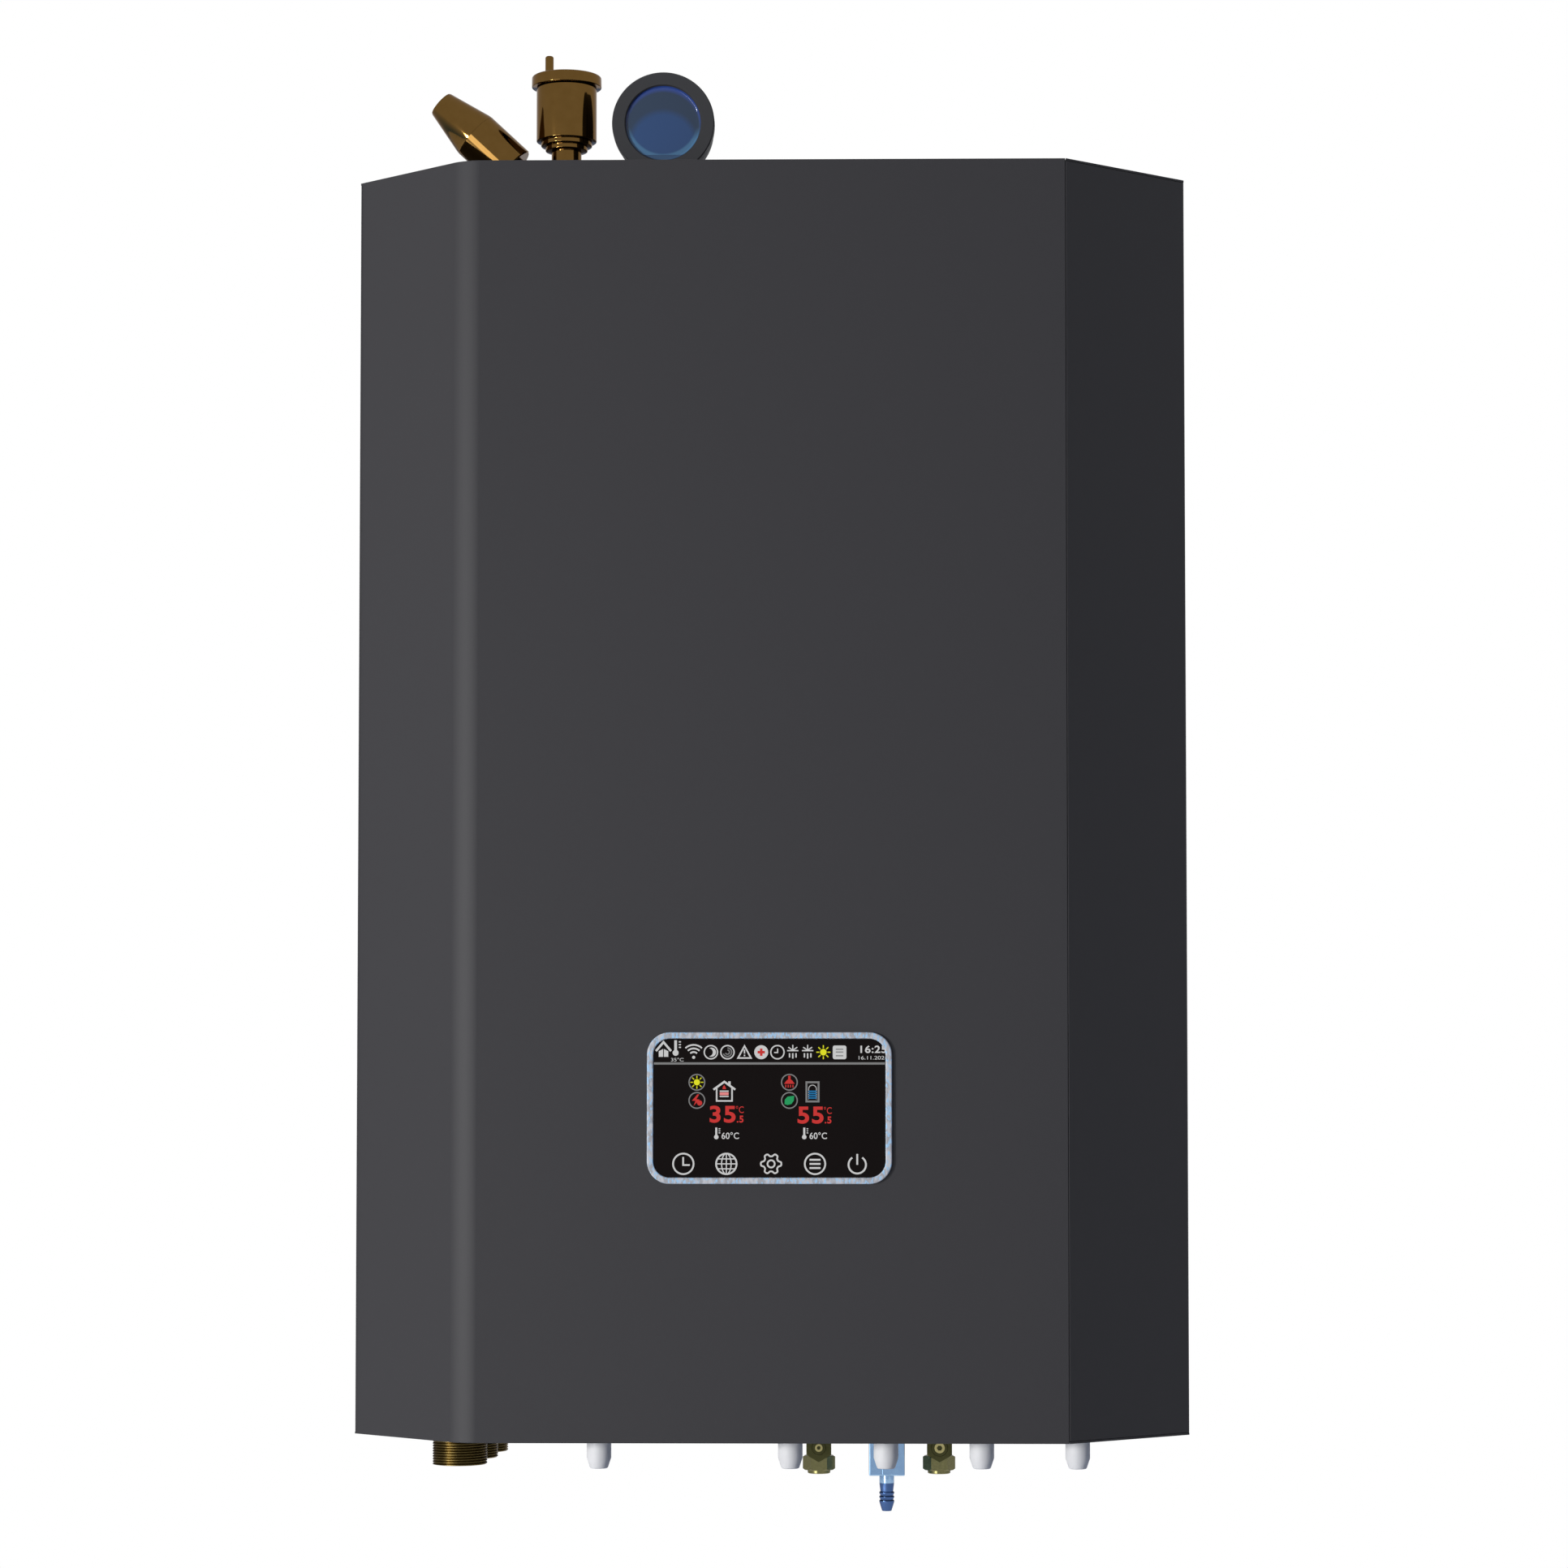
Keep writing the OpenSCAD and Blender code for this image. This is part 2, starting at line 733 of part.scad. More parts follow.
module cable_glands() {
    color(white) in_case() for (x = gland_xs) translate([x, gland_y, 0]) rotate_extrude() polygon([
        [gland_bore_r, -gland_drop], [gland_mouth_r, -gland_drop], [gland_r, gland_taper - gland_drop],
        [gland_r, -seam], [gland_thread_r, -seam], [gland_thread_r, gland_thread_top],
        [gland_bore_r, gland_thread_top]]);
}

gland_nut_af = 17;
gland_nut_h = 5;

module gland_nuts() {
    color(white) in_case() for (x = gland_xs) difference() {
        hex_z(gland_nut_af, sheet + seam, sheet + seam + gland_nut_h, x, gland_y);
        rod_z(gland_thread_r + run, 0, gland_nut_h + 5, x, gland_y);
    }
}

// Service valve: upright body, front hexagon round the spindle, flare thread below
bonnet_front = valve_y - 17;
bonnet_back = valve_y - 9.2;
nut_top = -15.6;
flare_r = 5.5;
flare_len = 6;
valve_r = 7;
valve_waist_z = 14;
valve_bore_r = 2.4;

module service_valve(x, spindle_r) {
    bonnet_z = -spindle_drop;
    difference() {
        union() {
            rod_z(valve_r, nut_top + seam, valve_waist_z, x, valve_y);
            rod_z(valve_r + 0.6, valve_waist_z - 8, valve_waist_z + 12, x, valve_y);
            rod_z(gas_d / 2 + 2, valve_waist_z, valve_top, x, valve_y);
            rod_z(flare_r, nut_top - flare_len, nut_top + 1, x, valve_y);
            rod_y(flare_r, bonnet_back - 1, valve_y, x, bonnet_z);
            translate([x, bonnet_back, bonnet_z]) rotate([90, 0, 0]) rotate([0, 0, 30])
                cylinder(r = bonnet_af / sqrt(3), h = bonnet_back - bonnet_front, $fn = 6);
        }
        rod_z(valve_bore_r, nut_top - flare_len - 1, valve_top - 12, x, valve_y);
        rod_z(gas_d / 2 - pipe_wall, valve_top - 12.5, valve_top + 1, x, valve_y);
        rod_y(spindle_r + run, bonnet_front - 1, valve_y - 4, x, bonnet_z);
    }
}

module gas_valve() {
    color(olive_brass) in_case() service_valve(gas_valve_x, gas_spindle_r);
}

module liquid_valve() {
    color(olive_brass) in_case() service_valve(liquid_valve_x, liquid_spindle_r);
}

// The spindle's face has a hexagon socket that the service key turns
module valve_spindle(x, r) {
    difference() {
        rod_y(r, bonnet_front - 0.6, valve_y - 5, x, -spindle_drop);
        translate([x, bonnet_front + 1.2, -spindle_drop]) rotate([90, 0, 0])
            cylinder(r = 0.55 * r, h = 4, $fn = 6);
    }
}

module gas_spindle() {
    color(olive_brass) in_case() valve_spindle(gas_valve_x, gas_spindle_r);
}

module liquid_spindle() {
    color(olive_brass) in_case() valve_spindle(liquid_valve_x, liquid_spindle_r);
}

nut_collar_r = 6.9;
nut_collar_h = 2.1;
// Gap between screwed or snapped pieces
thread_gap = 0.05;

module flare_nuts() {
    color(olive_brass) in_case() for (x = [gas_valve_x, liquid_valve_x]) difference() {
        union() {
            hex_z(nut_af, nut_top - nut_h, nut_top, x, valve_y);
            rod_z(nut_collar_r, nut_top - nut_h - nut_collar_h, nut_top - nut_h + eps, x, valve_y);
        }
        rod_z(nut_bore_r, nut_top - nut_h - nut_collar_h - 1, nut_top + 1, x, valve_y);
        rod_z(flare_r + thread_gap, nut_top - flare_len - seam, nut_top + 1, x, valve_y);
    }
}

key_z = -drain_drop + key_w / 2 + 0.6;
journal_r = key_w / 2 - 0.1;
drain_top = 8;
drain_bore_r = 2;

module drain_block() {
    color(chrome) in_case() difference() {
        block([drain_x - drain_w / 2, valve_y - drain_w / 2, -drain_drop],
            [drain_x + drain_w / 2, valve_y + drain_w / 2, drain_top]);
        rod_z(drain_bore_r, -drain_drop - 1, drain_top + 1, drain_x, valve_y);
        rod_z(branch_d / 2 - pipe_wall, drain_top - 6, drain_top + 1, drain_x, valve_y);
        rod_y(journal_r + run, valve_y - drain_w, valve_y + 5, drain_x, key_z);
    }
}

// Hose barb with three ridges and a tapered mouth
module hose_barb() {
    top = -drain_drop;
    shank = top - barb_len + 11.9;
    ridge = 2.5;
    color(chrome) in_case() translate([drain_x, valve_y, 0]) rotate_extrude() polygon(concat(
        [[drain_bore_r, top], [barb_r, top], [barb_r, shank]],
        [for (i = [0 : 2]) for (k = [0 : 1])
            [k == 0 ? barb_r - 0.5 : barb_r + 0.15, shank - ridge * i - (k == 0 ? 0.1 : 0.6)]],
        [[barb_r - 0.2, shank - ridge * 3], [barb_r - 1.6, top - barb_len], [drain_bore_r, top - barb_len]]));
}

// Square key outside, round journal with a cross bore in the block
module drain_key() {
    front = valve_y - drain_w / 2;
    color(chrome) in_case() difference() {
        union() {
            block([drain_x - key_w / 2, front - 2.6, key_z - key_w / 2],
                [drain_x + key_w / 2, front - seam, key_z + key_w / 2]);
            rod_y(journal_r, front - 1, valve_y + 4.6, drain_x, key_z);
        }
        rod_x(1.5, drain_x - 5, drain_x + 5, valve_y, key_z);
    }
}

// Safety manifold: level bar, upright ports for vent and gauge, slanted port for the relief valve
relief_u = [-cos(relief_angle), 0, sin(relief_angle)];
port_top = case_h + 13;
manifold_x = [vent_x - 22, gauge_x + 16];
manifold_bore = 8;
inlet_x = (vent_x + gauge_x) / 2;
inlet_bore = 7;
relief_rise = 5;
relief_port = 31;
relief_port_r = 10.5;
relief_bore = 5;
relief_start = 45.7;
inlet_z = manifold_z - manifold_r - 8;

// A piece drawn along +Z is turned onto the relief valve's axis
module on_relief_axis() {
    translate([vent_x, top_y, manifold_z + relief_rise]) rotate([0, relief_angle - 90, 0]) children();
}

module safety_manifold() {
    color(brass) in_case() difference() {
        union() {
            rod_x(manifold_r, manifold_x[0], manifold_x[1], top_y, manifold_z);
            rod_z(11, manifold_z, port_top, vent_x, top_y);
            rod_z(9, manifold_z, case_h + 3, gauge_x, top_y);
            rod_z(pipe_d / 2 + 2, inlet_z, manifold_z, inlet_x, top_y);
            on_relief_axis() cylinder(r = relief_port_r, h = relief_port);
        }
        rod_x(manifold_bore, manifold_x[0] - 1, manifold_x[1] - 5, top_y, manifold_z);
        rod_z(6, manifold_z, port_top + 1, vent_x, top_y);
        rod_z(3, manifold_z, case_h + 4, gauge_x, top_y);
        rod_z(inlet_bore, inlet_z - 1, manifold_z, inlet_x, top_y);
        on_relief_axis() cylinder(r = relief_bore, h = relief_port + 1);
    }
}

disc_r = 8;
disc_lift = 2.5;
stem_r = 2.5;
relief_wall = 4;
relief_top = relief_start + relief_len;

// Relief valve: neck, seat, spring room and top plate that guides the stem
module relief_body() {
    color(brass) in_case() on_relief_axis() difference() {
        union() {
            translate([0, 0, relief_port]) cylinder(r = 9, h = relief_start - relief_port + eps);
            translate([0, 0, relief_start]) cylinder(r = relief_r, h = relief_len);
        }
        translate([0, 0, relief_port - 1]) cylinder(r = relief_bore, h = relief_start - relief_port + 6);
        translate([0, 0, relief_start + relief_wall])
            cylinder(r = relief_r - relief_wall, h = relief_len - 2 * relief_wall);
        translate([0, 0, relief_top - relief_wall - 1]) cylinder(r = stem_r + run, h = relief_wall + 2);
    }
}

module relief_disc() {
    color(silver) in_case() on_relief_axis() {
        translate([0, 0, relief_start + relief_wall + seam]) cylinder(r = disc_r, h = 4);
        translate([0, 0, relief_start + relief_wall + 4]) cylinder(r = stem_r, h = relief_len + 2);
    }
}

module relief_knob() {
    color(brass) in_case() on_relief_axis() difference() {
        translate([0, 0, relief_top + seam])
            cylinder(r1 = relief_r, r2 = relief_tip_r, h = relief_knob_len - seam);
        translate([0, 0, relief_top]) cylinder(r = stem_r + run, h = 10 + disc_lift + free);
    }
}

// Automatic air vent: three steps below a straight body, with the float inside
cap_z = case_h + vent_cap_height;
vent_bottom = cap_z - 40;
vent_floor = vent_bottom + 3;
vent_neck_r = 9.3;
vent_wall = 6.5;
float_lift = 5;
float_skin = 2;

module vent_body() {
    step_h = 3;
    step_r = 2.8;
    color(brass) in_case() translate([vent_x, top_y, 0]) difference() {
        rotate_extrude() polygon(concat(
            [[0, port_top + seam], [vent_neck_r, port_top + seam], [vent_neck_r, vent_bottom]],
            [for (i = [0 : 2]) for (k = [0 : 1])
                [vent_r - (2 - i) * step_r, vent_bottom + (i + k) * step_h]],
            [[vent_r, cap_z - seam], [0, cap_z - seam]]));
        translate([0, 0, port_top]) cylinder(r = 4, h = vent_floor - port_top + 1);
        translate([0, 0, vent_floor]) cylinder(r = vent_r - vent_wall, h = cap_z - vent_floor);
    }
}

bleed_x = vent_x - 10.8;

module vent_cap() {
    round_r = 1.5;
    color(brass) in_case() difference() {
        translate([vent_x, top_y, cap_z]) rotate_extrude() {
            square([vent_cap_r, vent_cap_t - round_r]);
            square([vent_cap_r - round_r, vent_cap_t]);
            translate([vent_cap_r - round_r, vent_cap_t - round_r]) circle(r = round_r);
        }
        rod_z(bleed_r + run, cap_z + 1.5, cap_z + vent_cap_t + 1, bleed_x, top_y);
    }
}

module bleed_screw() {
    color(brass) in_case() translate([bleed_x, top_y, 0]) rotate_extrude() {
        translate([0, cap_z + 2]) square([bleed_r, vent_cap_t - 2 + bleed_out - bleed_r / 2]);
        translate([0, cap_z + 2]) square([bleed_r / 2, vent_cap_t - 2 + bleed_out]);
        intersection() {
            translate([bleed_r / 2, cap_z + vent_cap_t + bleed_out - bleed_r / 2]) circle(r = bleed_r / 2);
            translate([0, cap_z]) square([bleed_r, vent_cap_t + bleed_out]);
        }
    }
}

module vent_float() {
    r = vent_r - vent_wall - free;
    top = cap_z - seam - float_lift - 1;
    color(white) in_case() difference() {
        rod_z(r, vent_floor + seam, top, vent_x, top_y);
        rod_z(r - float_skin, vent_floor - 1, top - float_skin, vent_x, top_y);
    }
}

// Pressure gauge: cup, snapped ring, glass, needle on the movement's post
gauge_back_y = gauge_front_y + gauge_d;
ring_lip = 2.2;
ring_d = 10;
glass_t = 2;
dial_y = gauge_front_y + 9;
gauge_wall = 1.2;
gauge_cup_r = gauge_r - gauge_wall;
needle_r = 1;

module gauge_case() {
    color(dark_grey) in_case() {
        difference() {
            rod_y(gauge_cup_r, gauge_front_y + ring_lip + glass_t + 2 * seam, gauge_back_y, gauge_x, gauge_z);
            rod_y(gauge_cup_r - gauge_wall, gauge_front_y, dial_y, gauge_x, gauge_z);
            rod_y(gauge_cup_r - gauge_wall, dial_y + 1, gauge_back_y - gauge_wall, gauge_x, gauge_z);
            rod_y(6, dial_y - 1, dial_y + 2, gauge_x, gauge_z + 14);
            rod_y(needle_r + run, dial_y - 1, dial_y + 3, gauge_x, gauge_z);
        }
        rod_z(gauge_stem_r, case_h + 3 + seam, gauge_z - gauge_cup_r + 2, gauge_x, top_y);
    }
}

module gauge_ring() {
    color(dark_grey) in_case() difference() {
        rod_y(gauge_r, gauge_front_y, gauge_front_y + ring_d, gauge_x, gauge_z);
        rod_y(gauge_window_r, gauge_front_y - 1, gauge_front_y + ring_d + 1, gauge_x, gauge_z);
        rod_y(gauge_cup_r + thread_gap, gauge_front_y + ring_lip, gauge_front_y + ring_d + 1,
            gauge_x, gauge_z);
    }
}

module gauge_glass() {
    color([0.25, 0.40, 0.62, 0.6]) in_case()
        rod_y(gauge_cup_r - 0.3, gauge_front_y + ring_lip + seam, gauge_front_y + ring_lip + seam + glass_t,
            gauge_x, gauge_z);
}

// The needle points down and to the left at rest, on a short shaft through the dial
module gauge_needle() {
    y = dial_y - 2.2;
    color(black) in_case() {
        rod_y(needle_r, y, dial_y + 2.5, gauge_x, gauge_z);
        rod_y(2.6, y - 0.8, y + 0.4, gauge_x, gauge_z);
        translate([gauge_x, y, gauge_z]) rotate([0, 45, 0]) rotate([90, 0, 0]) linear_extrude(0.6)
            polygon([[7, -0.9], [7, 0.9], [-20, 0.35], [-20, -0.35]]);
    }
}

// Flat expansion vessel, its seam round the middle and its nipple below
vessel_skin = 1.5;
vessel_edge = 34;
vessel_flange = 2;
nipple_r = 9;
nipple_z = vessel_z - vessel_r - 3;

module vessel_profile(r, t, edge) {
    intersection() {
        translate([-r, -t / 2]) offset(r = edge, $fn = 32)
            translate([edge, edge]) square([2 * r - 2 * edge, t - 2 * edge]);
        translate([0, -t]) square([r + 1, 2 * t]);
    }
}

module expansion_vessel() {
    color(red_paint) in_case() difference() {
        union() {
            translate([vessel_x, vessel_mid, vessel_z]) rotate([90, 0, 0]) rotate_extrude($fn = 96) {
                vessel_profile(vessel_r, vessel_t, vessel_edge);
                translate([vessel_r - 4, -3]) square([4 + vessel_flange, 6]);
            }
            rod_z(nipple_r, nipple_z, vessel_z - vessel_r + 6, vessel_x, vessel_mid);
        }
        translate([vessel_x, vessel_mid, vessel_z]) rotate([90, 0, 0]) rotate_extrude($fn = 96)
            vessel_profile(vessel_r - vessel_skin, vessel_t - 2 * vessel_skin, vessel_edge - vessel_skin);
        rod_z(4, nipple_z - 1, vessel_z - vessel_r + 8, vessel_x, vessel_mid);
    }
}

// Brazed stack of plates between two cover plates, with four ports in front
plate_count = 9;
plate_inset = 1.6;
exchanger_corner = 16;
exchanger_wall = 6;

module exchanger_slab(inset, y0, y1) {
    $fn = 16;
    front_plate(exchanger_w - 2 * inset, exchanger_h - 2 * inset, exchanger_corner - inset, y0, y1,
        exchanger_x, exchanger_z + exchanger_h / 2);
}

module plate_exchanger() {
    pitch = exchanger_d / plate_count;
    back = exchanger_front + exchanger_d;
    color(silver) in_case() difference() {
        union() {
            exchanger_slab(plate_inset, exchanger_front, back);
            for (i = [0 : plate_count - 1]) {
                exchanger_slab(0, exchanger_front + i * pitch, exchanger_front + i * pitch + pitch * 0.55);
            }
            for (z = exchanger_ports_z) {
                rod_y(pipe_d / 2 + 3, exchanger_front - port_len, exchanger_front + 1,
                    exchanger_x - port_dx, z);
                rod_y(gas_d / 2 + 3, exchanger_front - port_len + 3, exchanger_front + 1,
                    exchanger_x + port_dx, z);
            }
        }
        for (dx = [-port_dx, port_dx]) {
            r = dx < 0 ? pipe_d / 2 - pipe_wall : gas_d / 2 - pipe_wall;
            translate([exchanger_x + dx, (exchanger_front + back) / 2, exchanger_z + exchanger_h / 2])
                cube([2 * (port_dx - exchanger_wall), exchanger_d - 2 * exchanger_wall,
                    exchanger_h - 2 * exchanger_wall], center = true);
            for (z = exchanger_ports_z) {
                rod_y(r, exchanger_front - port_len - 1, exchanger_front + exchanger_wall + 2,
                    exchanger_x + dx, z);
            }
        }
    }
}

element_thread_r = 16;
heater_wall = 1.5;
heater_port_y = heater_y - heater_r - 8;
heater_drain_x = heater_x - heater_r - 6;
heater_drain_z = heater_z + 20;

module heater_tube() {
    bottom = heater_z;
    top = heater_z + heater_h;
    color(silver) in_case() difference() {
        union() {
            rod_z(heater_r, bottom, top, heater_x, heater_y);
            for (z = heater_ports_z) rod_y(pipe_d / 2 + 2, heater_port_y, heater_y, heater_x, z);
            rod_x(branch_d / 2 + 2, heater_drain_x, heater_x, heater_y, heater_drain_z);
        }
        rod_z(heater_r - heater_wall, bottom + heater_wall, top - heater_wall, heater_x, heater_y);
        rod_z(element_thread_r + seam, bottom - 1, bottom + heater_wall + 1, heater_x, heater_y);
        for (z = heater_ports_z) {
            rod_y(pipe_d / 2 - pipe_wall, heater_port_y - 1, heater_y, heater_x, z);
        }
        rod_x(branch_d / 2 - pipe_wall, heater_drain_x - 1, heater_x, heater_y, heater_drain_z);
    }
}

// Screwed head with two hairpin rods
module heater_element() {
    rod_d = 8;
    d = 9;
    head_h = 14;
    low = heater_z + 7;
    high = heater_z + heater_h - 60;
    color(zinc) in_case() {
        hex_z(46, heater_z - seam - head_h, heater_z - seam, heater_x, heater_y);
        rod_z(element_thread_r, heater_z - seam - eps, low + 1, heater_x, heater_y);
        rod_z(11, heater_z - head_h - 18, heater_z - head_h, heater_x, heater_y);
        for (x = [heater_x - d, heater_x + d]) pipe_core([[x, heater_y - d, low], [x, heater_y - d, high],
            [x, heater_y + d, high], [x, heater_y + d, low]], d - 0.5, rod_d);
    }
}

// In-line circulation pump, its motor towards the front
pump_half = pump_len / 2;
volute_y = [pump_y - 25, pump_y + 25];
shaft_r = 5;
magnet_r = 17;
motor_r = pump_r - 4;
motor_len = 60;
motor_front = volute_y[0] - seam - motor_len;
port_z = [pump_z - pump_half, pump_z + pump_half];

module pump_housing() {
    color(dark_grey) in_case() difference() {
        union() {
            rod_y(pump_r, volute_y[0], volute_y[1], pump_x, pump_z);
            rod_z(pipe_d / 2 + 4, port_z[0], port_z[1], pump_x, pump_y);
            for (z = [port_z[0], port_z[1] - 12]) hex_z(36, z, z + 12, pump_x, pump_y);
        }
        rod_y(impeller_r + 4, volute_y[0] - 1, pump_y + 15, pump_x, pump_z);
        for (z = port_z) {
            rod_z(pipe_d / 2 - pipe_wall, min(z, pump_z) - 1, max(z, pump_z) + 1, pump_x, pump_y);
        }
    }
}

module pump_motor() {
    color(dark_grey) in_case() difference() {
        union() {
            rod_y(motor_r, motor_front, volute_y[0] - seam, pump_x, pump_z);
            // Terminal box on the motor's side
            block([pump_x + 20, motor_front + 12, pump_z - 26],
                [pump_x + motor_r + 20, motor_front + 48, pump_z + 26]);
        }
        rod_y(magnet_r + 1.5, motor_front + 3, motor_front + 46, pump_x, pump_z);
        rod_y(shaft_r + run, motor_front + 45, volute_y[0] + 1, pump_x, pump_z);
    }
}

module pump_rotor() {
    color(zinc) in_case() {
        rod_y(shaft_r, motor_front + 4, pump_y + 6, pump_x, pump_z);
        rod_y(magnet_r, motor_front + 5, motor_front + 43, pump_x, pump_z);
        rod_y(impeller_r, pump_y + 2, pump_y + 5, pump_x, pump_z);
        for (a = [0 : 60 : 300]) translate([pump_x, pump_y + 2 + eps, pump_z]) rotate([90, 0, 0])
            rotate([0, 0, a]) translate([6, 0, 0]) rotate([0, 0, 25]) cube([20, 2, 9]);
    }
}

// Three-way diverter: ball in a cast body, stem through the actuator to the hand lever
diverter_r = 20;
stem_bore = 4.3;
leg_d = 28;
leg_bore = 18;
leg_bend = 16;
ball_port_r = 7.5;

module diverter_body() {
    legs = [[stub_x, stub_ys[0], stub_top + seam], [stub_x, stub_ys[0], diverter_z],
        [stub_x, stub_ys[1], diverter_z], [stub_x, stub_ys[1], stub_top + seam]];
    color(brass) in_case() difference() {
        union() {
            pipe_core(legs, leg_bend, leg_d);
            rod_x(diverter_r, stub_x - 19, stub_x + 19, diverter_y, diverter_z);
            rod_z(leg_d / 2, diverter_z, diverter_top, stub_x, diverter_y);
            rod_x(8, stub_x, actuator_x[0] - seam, diverter_y, diverter_z);
        }
        pipe_core(longer(legs, 1), leg_bend, leg_bore);
        rod_z(leg_bore / 2, diverter_z, diverter_top + 1, stub_x, diverter_y);
        translate([stub_x, diverter_y, diverter_z]) sphere(r = ball_r + seam);
        rod_x(stem_bore, stub_x, actuator_x[0] + 1, diverter_y, diverter_z);
    }
}

module diverter_ball() {
    color(silver) in_case() {
        difference() {
            translate([stub_x, diverter_y, diverter_z]) sphere(r = ball_r);
            rod_z(ball_port_r, diverter_z, diverter_z + 20, stub_x, diverter_y);
            rod_y(ball_port_r, diverter_y - 20, diverter_y, stub_x, diverter_z);
            translate([stub_x, diverter_y, diverter_z]) sphere(r = ball_port_r);
        }
        rod_x(stem_bore - run, stub_x + ball_r - 3, actuator_x[1] + 10, diverter_y, diverter_z);
    }
}

collar_h = 3;

module diverter_actuator() {
    half_d = 28;
    color(black) in_case() difference() {
        union() {
            block([actuator_x[0], diverter_y - half_d, diverter_z - 32],
                [actuator_x[1], diverter_y + half_d, diverter_z + 40]);
            rod_x(12, actuator_x[1] - eps, actuator_x[1] + collar_h, diverter_y, diverter_z);
        }
        rod_x(stem_bore, actuator_x[0] - 1, actuator_x[1] + 5, diverter_y, diverter_z);
    }
}

module diverter_lever() {
    x = actuator_x[1] + collar_h + seam;
    hub = 8;
    t = 5;
    half_w = 4;
    reach = 30;
    color(red_paint) in_case() difference() {
        union() {
            rod_x(9, x, x + hub, diverter_y, diverter_z);
            block([x, diverter_y - half_w, diverter_z], [x + t, diverter_y + half_w, diverter_z + reach]);
            rod_x(half_w, x, x + t, diverter_y, diverter_z + reach);
        }
        rod_x(stem_bore - run + thread_gap, x - 1, x + hub + 1, diverter_y, diverter_z);
    }
}

// Routes of the pipes, end to end between the pieces that they join
route_gap = 27;
route_front = exchanger_front - port_len - route_gap;
water_port_x = exchanger_x - port_dx;
gas_port_x = exchanger_x + port_dx;
water_port_end = exchanger_front - port_len - seam;
gas_port_end = exchanger_front - port_len + 3 - seam;

return_low = 190;
return_route = [[stub_x, stub_ys[2], stub_top + seam], [stub_x, stub_ys[2], return_low],
    [pump_x, stub_ys[2], return_low], [pump_x, pump_y, return_low], [pump_x, pump_y, port_z[0] - seam]];
exchanger_route = [[pump_x, pump_y, port_z[1] + seam], [pump_x, pump_y, exchanger_ports_z[1]],
    [pump_x, route_front, exchanger_ports_z[1]], [water_port_x, route_front, exchanger_ports_z[1]],
    [water_port_x, water_port_end, exchanger_ports_z[1]]];
heater_route = [[water_port_x, water_port_end, exchanger_ports_z[0]],
    [water_port_x, route_front, exchanger_ports_z[0]], [heater_x, route_front, exchanger_ports_z[0]],
    [heater_x, heater_port_y - seam, heater_ports_z[0]]];
manifold_route = [[heater_x, heater_port_y - seam, heater_ports_z[1]], [heater_x, top_y, heater_ports_z[1]],
    [inlet_x, top_y, heater_ports_z[1]], [inlet_x, top_y, inlet_z - seam]];
supply_route = [[manifold_x[0] - seam, top_y, manifold_z], [stub_x, top_y, manifold_z],
    [stub_x, top_y, diverter_top + seam]];
tee_z = 230;
vessel_route = [[vessel_x, vessel_mid, nipple_z - seam], [vessel_x, vessel_mid, tee_z],
    [vessel_x, pump_y, tee_z], [pump_x + pipe_d / 2 + seam, pump_y, tee_z]];
drain_rise_x = drain_x - 30;
drain_low = 60;
drain_route = [[drain_x, valve_y, drain_top + seam], [drain_x, valve_y, drain_low],
    [drain_x, heater_y, drain_low], [drain_rise_x, heater_y, drain_low],
    [drain_rise_x, heater_y, heater_drain_z], [heater_drain_x - seam, heater_y, heater_drain_z]];
gas_low = 345;
gas_route = [[gas_valve_x, valve_y, valve_top + seam], [gas_valve_x, valve_y, gas_low],
    [exchanger_x, valve_y, gas_low], [exchanger_x, valve_y, exchanger_ports_z[1]],
    [gas_port_x, valve_y, exchanger_ports_z[1]], [gas_port_x, gas_port_end, exchanger_ports_z[1]]];
liquid_low = 300;
liquid_route = [[liquid_valve_x, valve_y, valve_top + seam], [liquid_valve_x, valve_y, liquid_low],
    [gas_port_x, valve_y, liquid_low], [gas_port_x, valve_y, exchanger_ports_z[0]],
    [gas_port_x, gas_port_end, exchanger_ports_z[0]]];

module return_pipe() {
    color(copper) in_case() pipe(return_route, pipe_d, pipe_bend);
}

module exchanger_pipe() {
    color(copper) in_case() pipe(exchanger_route, pipe_d, pipe_bend);
}

module heater_pipe() {
    color(copper) in_case() pipe(heater_route, pipe_d, pipe_bend);
}

module manifold_pipe() {
    color(copper) in_case() pipe(manifold_route, pipe_d, pipe_bend);
}

module supply_pipe() {
    color(copper) in_case() pipe(supply_route, pipe_d, pipe_bend);
}

module vessel_pipe() {
    color(copper) in_case() pipe(vessel_route, branch_d, gas_bend);
}

module drain_pipe() {
    color(copper) in_case() pipe(drain_route, branch_d, gas_bend);
}

module gas_pipe() {
    color(copper) in_case() pipe(gas_route, gas_d, gas_bend);
}

module liquid_pipe() {
    color(copper) in_case() pipe(liquid_route, gas_d, gas_bend);
}

// Open tray with rims, its lid in front
box_top = box_z + box_h;

module control_box() {
    color(zinc) in_case() difference() {
        block([box_left, box_front, box_z], [box_right, box_back, box_top]);
        block([box_left + sheet, box_front - 1, box_z + sheet],
            [box_right - sheet, box_back - sheet, box_top - sheet]);
        for (x = gland_xs) if (x > box_left + 15) rod_z(6, box_z - 1, box_z + 5, x, box_front + 20);
    }
}

module control_lid() {
    color(zinc) in_case() {
        block([box_left, box_front - seam - sheet, box_z], [box_right, box_front - seam, box_top]);
    }
}

// Board on standoffs, with the terminal strip along its lower edge
board_y = box_back - sheet - 8;
board_front = board_y - board_t;

module on_board(x, z, w, h, d) {
    block([x, board_front - d, z], [x + w, board_front + eps, z + h]);
}

